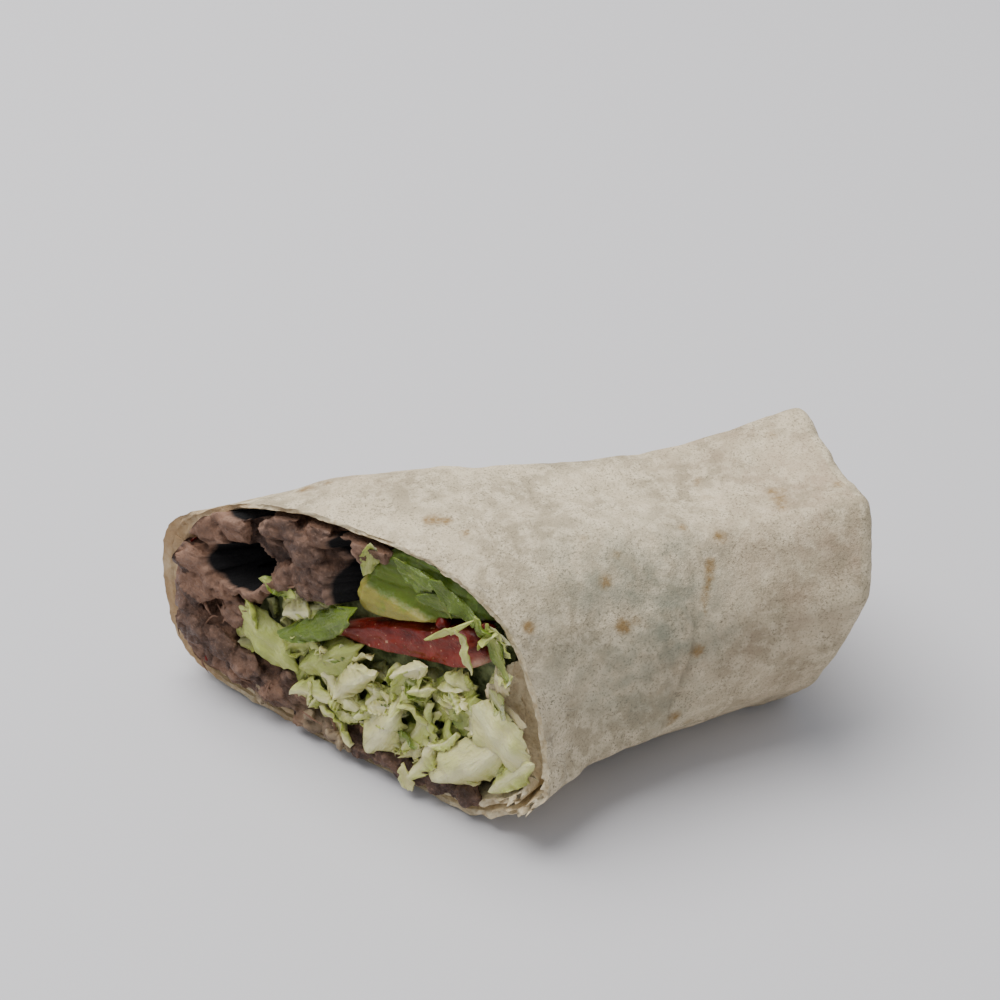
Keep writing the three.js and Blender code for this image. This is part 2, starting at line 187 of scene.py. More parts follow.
# %% The knife's plane
OUTWARD = Vector((math.tan(BIAS), -1, math.tan(CUT_LEAN))).normalized()
ALONG = Vector((math.cos(BIAS), math.sin(BIAS), 0))
UPWARD = OUTWARD.cross(ALONG)


def cut_point(across, up, out=0):
    """A point over the cut's plane, standing out of the food by a distance."""
    return Vector((across, cut_y(across, up), up)) + OUTWARD * out


def over_cut(point):
    """The place over the cut's plane of any point: across, up and how far out."""
    out = (point - cut_point(0, MIDDLE_HEIGHT)).dot(OUTWARD)
    foot = point - OUTWARD * out
    return foot.x, foot.z, out


COLLAR = 5.2                 # how far the knife pressed the inner layer in at the near side
COLLAR_ROOM = 0.55           # share of it that the filling leaves free
WALL_BLEND = 0.03            # share of a turn over which one layer becomes two
SNUG = 0.3                   # how far the filling presses into the tortilla's room


def collar(turn):
    """Where round the roll the inner layer is pressed in, 0 to 1."""
    turn = (turn + 0.5) % 1 - 0.5
    return smooth(turn, -0.08, 0) * (1 - smooth(turn, 0.05, 0.12))


def wall_inset(turn):
    """The room the tortilla takes: two layers where it laps over its own start, else one."""
    single = smooth(turn, INNER_EDGE_TURN - WALL_BLEND, INNER_EDGE_TURN + WALL_BLEND) * (
        1 - smooth(turn, SEAM_TURN - WALL_BLEND, SEAM_TURN + WALL_BLEND))
    return LAYER * (2 - single) - SNUG + COLLAR_ROOM * COLLAR * collar(turn)


WALL_STEPS = 360
wall_turns = [step / WALL_STEPS for step in range(WALL_STEPS)]
wall_polar = sorted(
    (math.atan2(point.z - MIDDLE_HEIGHT, point.x), math.hypot(point.x, point.z - MIDDLE_HEIGHT))
    for point in (roll_point(turn, 0, wall_inset(turn)) for turn in wall_turns)
)
wall_angles = [angle for angle, _ in wall_polar]


def wall_share(across, up):
    """How far out a place is: 0 in the middle of the cut, 1 at the inside of the tortilla."""
    angle = math.atan2(up - MIDDLE_HEIGHT, across)
    after = bisect.bisect(wall_angles, angle) % WALL_STEPS
    return math.hypot(across, up - MIDDLE_HEIGHT) / wall_polar[after][1]


LOWEST = 0.8                 # mm: no filling hangs lower over the cut than this


def held_in(point, most=0.95, outside=1.10, free=2.5):
    """Keeps a piece of filling inside the tortilla, or near it where it stands out of the cut."""
    across, up, out = over_cut(point)
    limit = mix(most, outside, smooth(out, 0, free))
    share = wall_share(across, up)
    if share > limit:
        across *= limit / share
        up = MIDDLE_HEIGHT + (up - MIDDLE_HEIGHT) * limit / share
    return cut_point(across, max(up, LOWEST), out)


END_SHARE = (0.56, 0.84)     # what is left of the filling's width and height at the end
FILLING_LIMIT = 0.93         # the filling stays within this share of the way to the wall


def filling_point(across, up, station):
    """Carries a place of the filling along the roll, clear of the narrowing tortilla."""
    share = max(1, wall_share(across, up) / FILLING_LIMIT)
    across *= mix(1, END_SHARE[0], station) / share
    up = MIDDLE_HEIGHT + (up - MIDDLE_HEIGHT) * mix(1, END_SHARE[1], station) / share
    return inside_point(across, up, station)


print("cut is", round(wall_polar[0][1] + wall_polar[WALL_STEPS // 2][1], 1), "mm wide inside")

# %% [markdown]
# ## A shorthand for finishes
# Food is never one colour, so each finish mixes several patterns. Written out socket by socket
# that is long and hard to read. Two small classes help: `Value` lets patterns be added,
# multiplied and compared as in ordinary sums, and `Finish` makes every other node in one way.
# What is the same all over a surface is set straight on the shader.


# %% Value: sums on patterns
class Value:
    """A number that varies over a surface. Sums on it add Math nodes."""

    def __init__(self, finish, socket):
        self.finish = finish
        self.socket = socket

    def _sum(self, operation, first, second):
        node = self.finish.node("ShaderNodeMath", {"operation": operation}, {0: first, 1: second})
        return Value(self.finish, node.outputs[0])

    def __add__(self, other):
        return self._sum("ADD", self, other)

    def __radd__(self, other):
        return self._sum("ADD", other, self)

    def __sub__(self, other):
        return self._sum("SUBTRACT", self, other)

    def __rsub__(self, other):
        return self._sum("SUBTRACT", other, self)

    def __mul__(self, other):
        return self._sum("MULTIPLY", self, other)

    def __rmul__(self, other):
        return self._sum("MULTIPLY", other, self)

    def greater(self, other):
        return self._sum("MAXIMUM", self, other)

    def between(self, low, high):
        """0 below low, 1 above high, and smooth in between."""
        node = self.finish.node(
            "ShaderNodeMapRange", {"interpolation_type": "SMOOTHSTEP"},
            {"Value": self, "From Min": low, "From Max": high},
        )
        return Value(self.finish, node.outputs["Result"])


# %% Finish: a material and its nodes
class Finish:
    """A material made from patterns. Sizes of patterns are in millimetres."""

    def __init__(self, name):
        self.material = bpy.data.materials.new(name)
        self.material.use_nodes = True
        self.tree = self.material.node_tree
        self.shader = self.tree.nodes["Principled BSDF"]
        self.places = self.node("ShaderNodeTexCoord").outputs["Object"]

    def node(self, kind, settings=None, sockets=None):
        node = self.tree.nodes.new(kind)
        for key, value in (settings or {}).items():
            setattr(node, key, value)
        for key, value in (sockets or {}).items():
            self.feed(node.inputs[key], value)
        return node

    def feed(self, socket, value):
        value = value.socket if isinstance(value, Value) else value
        if isinstance(value, bpy.types.NodeSocket):
            self.tree.links.new(value, socket)
        else:
            socket.default_value = value

    def attribute(self, name):
        node = self.node("ShaderNodeAttribute", {"attribute_name": name})
        return Value(self, node.outputs["Fac"])

    def stored_place(self):
        """The place that is stored on the mesh, as a vector."""
        return self.node("ShaderNodeAttribute", {"attribute_name": "place"}).outputs["Vector"]

    def across_and_up(self):
        """The first two numbers of the stored place."""
        parts = self.node("ShaderNodeSeparateXYZ", None, {"Vector": self.stored_place()})
        return Value(self, parts.outputs["X"]), Value(self, parts.outputs["Y"])

    def noise(self, size, detail=3.0, roughness=0.55, where=None, stretch=None):
        """A pattern from 0 to 1 whose patches are about this size across."""
        where = where or self.places
        if stretch:
            where = self.node("ShaderNodeMapping", None, {"Vector": where, "Scale": stretch})
            where = where.outputs["Vector"]
        node = self.node("ShaderNodeTexNoise", None, {
            "Vector": where, "Scale": 1 / (size * MM), "Detail": detail, "Roughness": roughness,
        })
        return Value(self, node.outputs[0])

    def blend(self, share, first, second):
        """The first colour, turning into the second where the share rises to 1."""
        node = self.node("ShaderNodeMix", {"data_type": "RGBA"}, {0: share, 6: first, 7: second})
        return node.outputs[2]

    def bump(self, height, depth):
        """Relief too fine for the mesh, this many millimetres deep."""
        node = self.node("ShaderNodeBump", None, {"Height": height, "Distance": depth * MM})
        self.feed(self.shader.inputs["Normal"], node.outputs["Normal"])

    def set(self, **sockets):
        for name, value in sockets.items():
            self.feed(self.shader.inputs[name.replace("_", " ")], value)
        return self


print("finishes are made with", Finish.__name__, "and", Value.__name__)

# %% [markdown]
# ## Sheets, slabs and lumps
# Nearly everything here is a sheet: the tortilla, the leaves, even a slice is a thick one. A
# sheet starts as a flat grid, gets its thickness from the solidify operator and is then laid
# into place, point by point, by a function. That way both faces and the rim always belong
# together, and the sheet stays closed however it is rolled or crumpled.


# %% Flat sheets and finished pieces
def flat_sheet(columns, rows, rim_rows=1):
    """A flat closed sheet: x and y run from -1 to 1 over it, z from 0 at its face to -1."""
    shape = bmesh.new()
    bmesh.ops.create_grid(shape, x_segments=columns, y_segments=rows, size=1)
    bmesh.ops.solidify(shape, geom=shape.faces[:], thickness=1)
    if rim_rows > 1:
        rim = [edge for edge in shape.edges
               if abs(edge.verts[0].co.z - edge.verts[1].co.z) > 0.5]
        bmesh.ops.subdivide_edges(shape, edges=rim, cuts=rim_rows - 1, use_grid_fill=True)
    return shape


def joined(shapes):
    """All the shapes in one, with their attributes."""
    whole = bmesh.new()
    for shape in shapes:
        bmesh.ops.recalc_face_normals(shape, faces=shape.faces)
        mesh = bpy.data.meshes.new("joining")
        shape.to_mesh(mesh)
        shape.free()
        whole.from_mesh(mesh)
        bpy.data.meshes.remove(mesh)
    return whole


def make_piece(name, shape, finishes, node=None, sharp=50):
    """Turns a shape in millimetres into a finished piece in the frame."""
    bmesh.ops.recalc_face_normals(shape, faces=shape.faces)
    for vert in shape.verts:
        vert.co = (vert.co + SHIFT) * MM
    for face in shape.faces:
        face.smooth = True
    mesh = bpy.data.meshes.new(name)
    shape.to_mesh(mesh)
    shape.free()
    mesh.set_sharp_from_angle(angle=math.radians(sharp))
    for finish in finishes:
        mesh.materials.append(finish.material)
    piece = bpy.data.objects.new(name, mesh)
    bpy.context.scene.collection.objects.link(piece)
    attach(piece, "root")
    if node:
        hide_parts(node)
    mesh.calc_loop_triangles()
    print(name, "has", len(mesh.loop_triangles), "triangles")
    return piece


# %% [markdown]
# ## The camera, the floor and the light
# The camera stands where the photograph was taken: in front of the cut, to its right, looking
# down at 38 degrees. It comes first, so that every piece can be judged from there. A pale
# floor and one broad soft light overhead give the mild shadows of a bright room.

# %% Camera, floor and light
VIEW_AZIMUTH = math.radians(75.15)
VIEW_PITCH = math.radians(38)
CAMERA_PLACE = Vector((254.09, -82.42, 254.10))
LENS, SENSOR = 72, 36        # a long lens, so the near and far ends look nearly alike
FLOOR_REACH = 2              # metres from the middle to each side

camera_data = bpy.data.cameras.new("camera")
camera_data.lens = LENS
camera_data.sensor_width = SENSOR
camera_data.clip_start = 0.01
camera = bpy.data.objects.new("camera", camera_data)
camera.location = (CAMERA_PLACE + SHIFT) * MM
camera.rotation_euler = (math.pi / 2 - VIEW_PITCH, 0, VIEW_AZIMUTH)
bpy.context.scene.collection.objects.link(camera)
bpy.context.scene.camera = camera

floor_shape = bmesh.new()
bmesh.ops.create_grid(floor_shape, x_segments=1, y_segments=1, size=FLOOR_REACH)
floor_mesh = bpy.data.meshes.new("floor")
floor_shape.to_mesh(floor_mesh)
floor_shape.free()
floor = bpy.data.objects.new("floor", floor_mesh)
bpy.context.scene.collection.objects.link(floor)
floor_finish = Finish("pale floor").set(Base_Color=(0.575, 0.555, 0.56, 1), Roughness=0.7)
floor_mesh.materials.append(floor_finish.material)

LIGHT_PLACE = Vector((-0.33, -0.27, 1.1))    # in metres
LIGHT_WIDTH = 1.1
LIGHT_POWER = 24
ROOM_COLOUR = (0.86, 0.92, 1, 1)
ROOM_STRENGTH = 0.61
light_data = bpy.data.lights.new("soft light", "AREA")
light_data.shape = "DISK"
light_data.size = LIGHT_WIDTH
light_data.energy = LIGHT_POWER
light = bpy.data.objects.new("soft light", light_data)
light.location = LIGHT_PLACE
light.rotation_euler = (-LIGHT_PLACE).to_track_quat("-Z", "Y").to_euler()
bpy.context.scene.collection.objects.link(light)

world = bpy.data.worlds.new("room")
world.use_nodes = True
world.node_tree.nodes["Background"].inputs["Color"].default_value = ROOM_COLOUR
world.node_tree.nodes["Background"].inputs["Strength"].default_value = ROOM_STRENGTH
bpy.context.scene.world = world
print("camera at", [round(value, 3) for value in camera.location])

# %% [markdown]
# ## The tortilla
# The real one is a round flat bread, about a millimetre and a half thick. It starts loose inside
# the roll at the near side, goes once round, and laps over itself under the base up to the far
# side. Its end is pushed in and folded over itself in two flaps. A thick tube would hide all
# that, so the sheet is laid as it was rolled: `turned` counts the turns from its inner edge, and
# `row` runs from 0 at the cut to 1 at the crease and on to 2 at the edge of the end's flap.

# %% How the sheet lies
TURNS_IN_ALL = 1.64          # once round, and 0.64 of a turn lapped over its own start
JOINT_TURN = 0.6             # the inner pass is a sheet of its own up to here
COLLAR_DEPTH = 0.1           # how far along the roll the inner layer is pressed in, as a share
EDGE_THICKNESS = 0.75        # the sheet thins out at its own edges
RIM_THICKNESS = 0.6          # and is pinched to this share of its thickness by the knife
SWOLLEN_RIM = 1.25           # but at the far side the rim has soaked and swollen
FOLD_RADIUS = 3.0
FOLD_ROWS = 0.1              # share of a row count that bends round the crease
TUCK = 9                     # how far the upper flap reaches under the lower one
FLAP_GAP = 0.25
GATHER = 0.22                # how much narrower the flaps get as they fold in
GATHERED = (10, 24)          # across, where that sets in and where it is full
FREE_CORNER = (11, 20)       # across, where the upper flap stops reaching under the lower one
DISH_REACH = 23              # half the width of the dip in the end
EDGE_TAPER = 0.03            # share of a turn over which the sheet thins out
RIM_ROWS = 0.04              # share of a row count that the knife has pinched and torn


def turn_of(turned):
    return 1 + INNER_EDGE_TURN - turned


def sheet_inset(turned, row):
    """How far the face of the sheet lies inside the roll's outline."""
    inner_turns = 1 + INNER_EDGE_TURN - SEAM_TURN
    under = SEAM_STEP * (1 - smooth(turned, inner_turns, inner_turns + SEAM_SLOPE))
    lies_down = SEAM_STEP - EDGE_THICKNESS * (1 - 0.8 * smooth(row, 0.8, 1)) - 0.1
    under += lies_down * (1 - smooth(TURNS_IN_ALL - turned, 0, 0.035))
    if turned > JOINT_TURN:
        return under
    wrinkled = 1 + 0.5 * noise.noise(Vector((turned * 34, row * 70, 2))) + 0.25 * noise.noise(
        Vector((turned * 90, row * 120, 5)))
    return under + COLLAR * collar(turn_of(turned)) * (1 - smooth(row, 0, COLLAR_DEPTH)) * wrinkled


def relief(point, turn, row):
    """Soft bulges over the filling, small pits and the crease where the end was tucked in."""
    bulges = 0.70 * noise.noise(point / 15) + 0.36 * noise.noise(point / 6 + OUTWARD * 9)
    pits = 0.12 * noise.noise(point / 2.1) + 0.06 * noise.noise(point / 0.9)
    return bulges * smooth(row, 0, 0.15) + pits - CREASE_DEPTH * crease(point, turn, row)


CREASE_AT = 0.53             # station of the crease round the near side
CREASE_SLANT = 0.36          # how much further along it is, a turn further up
CREASE_WIDTH = 0.55
CREASE_DEPTH = 0.35


def crease(point, turn, row):
    """The crease round the near side, 0 to 1."""
    turn = (turn + 0.5) % 1 - 0.5
    middle = CREASE_AT + CREASE_SLANT * (turn - 0.12) + 0.012 * noise.noise(point / 5)
    there = smooth(turn, -0.1, -0.02) * (1 - 0.75 * smooth(turn, 0.08, 0.13)) * (
        1 - smooth(turn, 0.2, 0.27))
    return there * math.exp(-((row - middle) * LENGTH / CREASE_WIDTH) ** 2)


print("crease in the middle of the near side, mm from the cut:", CREASE_AT * LENGTH)

# %% The folded end


def flap_edge(across):
    """The height of the lower flap's edge."""
    return MIDDLE_HEIGHT - across * math.tan(FLAP_SLOPE)


def dish(across, up):
    sideways, upwards = across / DISH_REACH, (up - MIDDLE_HEIGHT) / DISH_REACH
    return CAP_DISH * max(0, 1 - sideways ** 2 - upwards ** 2)


def end_point(turn, row, inset):
    """Carries the sheet round the crease and in over the end."""
    at_cut, _, at_end = outline_places(turn)
    length = end_y(at_end[1]) - cut_y(*at_cut)
    last = 1 - FOLD_RADIUS / length
    bend = min((row - 1) / FOLD_ROWS, 1) * math.pi / 2
    radius = max(FOLD_RADIUS - inset, 0.2)
    point = roll_point(turn, mix(last, 1, math.sin(bend)), FOLD_RADIUS - radius * math.cos(bend))
    point.y = end_y(point.z) - FOLD_RADIUS + radius * math.sin(bend)
    along = max(row - 1 - FOLD_ROWS, 0) / (1 - FOLD_ROWS)
    if along > 0:
        above = point.z - flap_edge(point.x)
        is_upper = above > 0
        off_corner = 1 - 0.9 * smooth(point.x, *FREE_CORNER)
        tuck = TUCK * off_corner * smooth(above, 0, 12) if is_upper else 0
        gathered = point.x * (1 - GATHER * smooth(abs(point.x), *GATHERED))
        up = mix(point.z, flap_edge(gathered) - tuck, along)
        point.x = mix(point.x, gathered, along)
        sunk = (SHEET + FLAP_GAP) * smooth(flap_edge(point.x) + 5 - up, 0, 5) if is_upper else 0
        sunk *= off_corner * smooth(above, 0, 2.5)
        depth = FOLD_RADIUS - radius
        wrinkle = 0.9 * noise.noise(Vector((point.x / 4, up / 9, 3)))
        wrinkle += 0.5 * noise.noise(Vector((point.x / 1.7, up / 5, 8)))
        point.y = end_y(up) - depth - smooth(along, 0, 0.5) * (
            dish(point.x, up) + sunk * smooth(along, 0, 0.4) - wrinkle)
        point.z = up
    return point


def tube_point(turn, row, inset):
    """The sheet between the cut and the crease, all in the knife's plane at row 0."""
    at_cut, _, at_end = outline_places(turn)
    last = 1 - FOLD_RADIUS / (end_y(at_end[1]) - cut_y(*at_cut))
    return roll_point(turn, row * last, inset)


def sheet_point(turned, row, through):
    """A point of the tortilla: through is 0 on its outer face and 1 on its inner face."""
    turn = turn_of(turned)
    bare = roll_point(turn, min(row, 1))
    to_edge = min(turned, TURNS_IN_ALL - turned)
    thickness = mix(EDGE_THICKNESS, SHEET, smooth(to_edge, 0, EDGE_TAPER))
    swollen = smooth(turn % 1, 0.4, 0.5) * (1 - smooth(turn % 1, 0.57, 0.66))
    thickness *= mix(mix(RIM_THICKNESS, SWOLLEN_RIM, swollen), 1, smooth(row, 0, RIM_ROWS))
    inset = sheet_inset(turned, row) + through * thickness - relief(bare, turn, row)
    if row > 1:
        return end_point(turn, row, inset)
    return tube_point(turn, row, inset)


print("seam on the far side at", [round(value, 1) for value in sheet_point(TURNS_IN_ALL, 0.5, 0)])

# %% [markdown]
# The griddle leaves a few tan toast spots, the leaves inside show through as faint grey-green
# smudges, and the bread is warmer and browner towards the folded end. Those marks belong to
# places on the roll, so they are stored on the mesh as attributes, each a soft field that the
# finish then gives a ragged edge.

# %% Where the tortilla is marked
TOAST_SPOTS = [  # turn, station, radius in mm, strength
    (0.393, 0.10, 1.8, 1), (0.385, 0.13, 1.2, 0.7), (0.274, 0.117, 1.5, 1),
    (0.266, 0.13, 1.1, 0.9),
    (0.243, 0.117, 1.1, 0.8), (0.212, 0.317, 0.9, 0.5), (0.134, 0.05, 1.2, 1),
    (0.155, 0.292, 1.4, 0.8), (0.186, 0.358, 1.0, 0.6), (0.103, 0.292, 1.4, 1),
    (0.108, 0.333, 0.9, 0.6), (0.222, 0.558, 1.0, 0.7), (0.295, 0.70, 1.0, 0.6),
    (0.28, 0.69, 0.8, 0.5), (0.269, 0.683, 1.1, 0.6), (0.202, 0.625, 1.3, 0.9),
    (0.168, 0.580, 0.9, 0.8), (0.160, 0.575, 1.1, 1), (0.152, 0.568, 1.0, 0.9),
    (0.145, 0.562, 1.0, 0.9), (0.138, 0.555, 0.9, 0.8), (0.132, 0.548, 0.9, 0.8),
    (0.125, 0.540, 0.9, 0.7), (0.119, 0.533, 0.9, 0.7), (0.111, 0.532, 0.8, 0.6),
    (0.104, 0.530, 0.7, 0.6), (0.062, 0.50, 1.4, 1), (0.300, 0.708, 1.0, 0.6),
    (-0.021, 0.483, 1.4, 0.9), (-0.032, 0.475, 1.0, 0.6), (0.243, 0.808, 1.6, 0.8),
    (0.258, 0.815, 1.3, 0.8), (0.230, 0.800, 1.2, 0.7), (0.255, 0.83, 1.2, 0.6),
    (0.331, 0.90, 1.4, 0.6), (0.248, 0.95, 1.2, 0.8),
    (0.171, 0.175, 0.8, 0.4), (0.217, 0.108, 0.8, 0.4), (0.424, 0.058, 1.8, 0.8),
]
SMUDGES = [  # the same, for damp grey-green shadows of the leaves
    (0.155, 0.283, 8, 0.7), (0.129, 0.358, 8, 0.8), (0.160, 0.492, 8, 0.6), (0.083, 0.142, 7, 0.5),
    (0.062, 0.325, 8, 0.8), (0.098, 0.458, 9, 1), (0.052, 0.267, 7, 0.7), (0.145, 0.158, 6, 0.4),
    (0.02, 0.40, 8, 0.6),
]
BROWNING = [  # and for warmer, pinkish-brown bread
    (0.155, 0.700, 10, 0.7), (0.052, 0.517, 8, 0.6), (0.093, 0.792, 9, 0.8), (0.160, 0.908, 9, 1),
    (0.269, 0.892, 12, 1), (0.046, 0.675, 8, 0.7), (0.35, 0.8, 12, 0.7), (0.40, 0.2, 10, 0.6),
    (0.5, 0.5, 12, 0.5), (0.66, 0.75, 12, 0.6), (0.95, 0.85, 9, 0.7),
]
CRACKS = [  # dry places by the rim, where the surface has cracked
    (0.124, 0.017, 1.6, 0.8), (0.114, 0.042, 1.8, 0.8), (0.062, 0.025, 1.4, 0.7),
    (0.046, 0.075, 2.0, 1), (0.031, 0.108, 2.0, 1), (0.020, 0.033, 2.0, 1), (0.005, 0.075, 1.8, 1),
    (-0.021, 0.033, 2.2, 1), (0.181, 0.017, 1.6, 0.7), (0.212, 0.058, 1.8, 0.5),
]
MARKS = {"toast": TOAST_SPOTS, "smudge": SMUDGES, "browned": BROWNING, "cracked": CRACKS}
HIDDEN_SPOTS = 26            # toast spots at random, where the photograph doesn't show the bread
marks_random = random.Random(5)
for _ in range(HIDDEN_SPOTS):
    TOAST_SPOTS.append((
        marks_random.uniform(0.38, 0.95), marks_random.uniform(0.05, 1),
        marks_random.uniform(0.7, 1.9), marks_random.uniform(0.4, 1),
    ))


def spots_near(marks):
    """The marks as points on the roll, ready to measure distances to."""
    return [(roll_point(turn, station), radius, strength)
            for turn, station, radius, strength in marks]


def mark_at(point, spots, reach=2.0):
    """The strongest mark at a point, fading out at its radius times the reach."""
    strongest = 0.0
    for centre, radius, strength in spots:
        distance = (point - centre).length
        if distance < radius * reach:
            strongest = max(strongest, strength * (1 - smooth(distance / radius, 0.1, reach)))
    return strongest


print(len(TOAST_SPOTS), "toast spots,", len(SMUDGES), "smudges,", len(BROWNING), "browned areas")

# %% Finishes of the tortilla
bread = Finish("griddled tortilla")
cloud = bread.noise(11, 3).between(0.32, 0.68)
flour = bread.noise(2.4, 4, 0.6).between(0.42, 0.66)
speckle = bread.noise(0.42, 3, 0.75).between(0.50, 0.66)
dense = bread.noise(5, 3).between(0.32, 0.66)
fleck = bread.noise(0.5, 2, 0.5).between(0.66, 0.72) * bread.noise(6, 2).between(0.42, 0.62)
smudge = bread.attribute("smudge") * bread.noise(4, 4).between(0.25, 0.7)
browned = bread.attribute("browned") * bread.noise(4.5, 4).between(0.2, 0.8)
toast = (bread.attribute("toast") * (bread.noise(0.8, 3) * 1.5 + 0.2)).between(0.15, 1.0)
crust = bread.blend(cloud, (0.375, 0.305, 0.20, 1), (0.62, 0.51, 0.345, 1))
crust = bread.blend(flour * 0.6, crust, (0.77, 0.65, 0.455, 1))
crust = bread.blend(speckle * (dense * 0.5 + 0.45), crust, (0.18, 0.15, 0.098, 1))
crust = bread.blend(smudge * 0.85, crust, (0.215, 0.225, 0.165, 1))
crust = bread.blend(browned * 0.6, crust, (0.36, 0.245, 0.16, 1))
crust = bread.blend(toast * 0.95, crust, (0.25, 0.155, 0.060, 1))
crust = bread.blend(fleck * 0.6, crust, (0.15, 0.13, 0.09, 1))
meander = bread.noise(8, 2, 0.55)
from_crack = (meander - 0.5).greater(0.5 - meander)
cracked = bread.attribute("cracked").between(0.2, 0.6)
beside_crack = (1 - from_crack.between(0.008, 0.04)) * cracked
in_crack = (1 - from_crack.between(0, 0.009)) * cracked
crust = bread.blend(beside_crack * 0.12, crust, (0.80, 0.72, 0.56, 1))
crust = bread.blend(in_crack * 0.5, crust, (0.15, 0.12, 0.08, 1))
# Painted shade: the crease round the near side is darkened in the bread's colour.
crust = bread.blend(bread.attribute("crease") * 0.55, crust, (0.17, 0.15, 0.10, 1))
bread.bump(bread.noise(0.8, 4, 0.65) + bread.noise(0.25, 2) * 0.35, 0.26)
bread.set(Base_Color=crust, Roughness=0.86, Specular_IOR_Level=0.25)

crumb = Finish("cut edge of the tortilla")
layers = crumb.noise(1.1, 3).between(0.3, 0.7)
edge_colour = crumb.blend(layers, (0.50, 0.38, 0.22, 1), (0.72, 0.61, 0.41, 1))
edge_colour = crumb.blend(crumb.attribute("stain") * 0.85, edge_colour, (0.36, 0.21, 0.095, 1))
crumb.bump(crumb.noise(0.5, 4, 0.7), 0.3)
crumb.set(Base_Color=edge_colour, Roughness=0.7, Specular_IOR_Level=0.3)

lining = Finish("inside of the tortilla")
lining_patches = lining.noise(2.4, 4, 0.6).between(0.3, 0.7)
lining_colour = lining.blend(lining_patches, (0.60, 0.465, 0.27, 1), (0.84, 0.70, 0.45, 1))
lining_specks = lining.noise(0.5, 3, 0.7).between(0.52, 0.7)
lining_colour = lining.blend(lining_specks * 0.35, lining_colour, (0.25, 0.17, 0.08, 1))
lining_colour = lining.blend(lining.attribute("stain") * 0.7, lining_colour,
                             (0.30, 0.165, 0.06, 1))
lining.bump(lining.noise(0.9, 4, 0.65), 0.35)
lining.set(Base_Color=lining_colour, Roughness=0.5, Specular_IOR_Level=0.4)
print("tortilla finishes:", bread.material.name, crumb.material.name, lining.material.name)

# %% [markdown]
# The knife drags on soft bread, so the rim of the cut isn't a clean line: it is torn by a few
# tenths of a millimetre, and at the bottom of the near side a flake hangs out. Only the rows
# closest to the cut move.

# %% Lay the tortilla
FLAKE_TURN = -0.085          # the flake that the knife pulled out, near the base
FLAKE_REACH = 3.2
LIP_REACH = 1.6              # the base's rim stands out past the meat there
STAINS = [(0.36, 3, 0.5), (0.42, 6, 0.9), (0.50, 9, 1), (0.57, 9, 1), (0.64, 8, 1), (0.72, 7, 0.7)]


def torn(turn, through):
    """How far the rim stands out of the knife's plane."""
    turn = (turn + 0.5) % 1 - 0.5
    where = Vector((turn * 60, through * 2, 0))
    tear = 0.45 * noise.noise(where) + 0.3 * noise.noise(where * 3) + 0.2 * noise.noise(where * 8)
    flake = math.exp(-((turn - FLAKE_TURN) / 0.016) ** 2) * (0.6 + noise.noise(where * 5))
    lip = smooth(turn, -0.2, -0.12) * (1 - smooth(turn, -0.05, 0.01))
    return tear + FLAKE_REACH * flake + LIP_REACH * lip * (1 + noise.noise(where * 1.5))


def lay_sheet(columns, rows, turned_range, row_of):
    """A sheet of tortilla from one number of turns to another, with its marks."""
    shape = flat_sheet(columns, rows, rim_rows=3)
    fields = {name: shape.verts.layers.float.new(name) for name in (*MARKS, "crease", "stain")}
    spots = {name: spots_near(marks) for name, marks in MARKS.items()}
    stains = spots_near([(turn, 0, radius, strength) for turn, radius, strength in STAINS])
    for face in shape.faces:
        depth = -face.calc_center_median().z
        face.material_index = 0 if depth < 0.01 else 2 if depth > 0.99 else 1
    for vert in shape.verts:
        through = -vert.co.z
        turned = mix(*turned_range, (vert.co.x + 1) / 2)
        row = row_of((vert.co.y + 1) / 2)
        turn = turn_of(turned)
        point = sheet_point(turned, row, through)
        if row < RIM_ROWS:
            point += OUTWARD * torn(turn, through) * (1 - smooth(row, 0, RIM_ROWS))
        if through < 0.01 and row <= 1:
            for name in spots:
                vert[fields[name]] = mark_at(point, spots[name])
            vert[fields["crease"]] = crease(point, turn, row)
        vert[fields["stain"]] = mark_at(point, stains)
        vert.co = (point.x, point.y, max(point.z, 0))
    return shape


CREASE_STARTS, CREASE_ENDS = 0.74, 0.82    # shares of the rows that lie before each
INNER_REACH = 0.88           # the inner pass ends short of the folds
JOINT_CLEARANCE = 0.001      # share of a turn between the two passes


def outer_row(share):
    """Rows close together at the rim, then along the tube, round the crease, over the end."""
    if share < CREASE_STARTS:
        return (share / CREASE_STARTS) ** 1.25
    if share < CREASE_ENDS:
        return 1 + FOLD_ROWS * (share - CREASE_STARTS) / (CREASE_ENDS - CREASE_STARTS)
    return mix(1 + FOLD_ROWS, 2, (share - CREASE_ENDS) / (1 - CREASE_ENDS))


def inner_row(share):
    """Rows close together at the rim, on to where the inner pass ends."""
    return INNER_REACH * share ** 1.6


outer_sheet = lay_sheet(270, 130, (JOINT_TURN, TURNS_IN_ALL), outer_row)
make_piece("tortilla_outer", outer_sheet, [bread, crumb, lining], "tortilla",
           sharp=60)
inner_sheet = lay_sheet(150, 80, (0, JOINT_TURN - JOINT_CLEARANCE), inner_row)
make_piece("tortilla_inner", inner_sheet, [lining, crumb, lining], "tortilla",
           sharp=60)
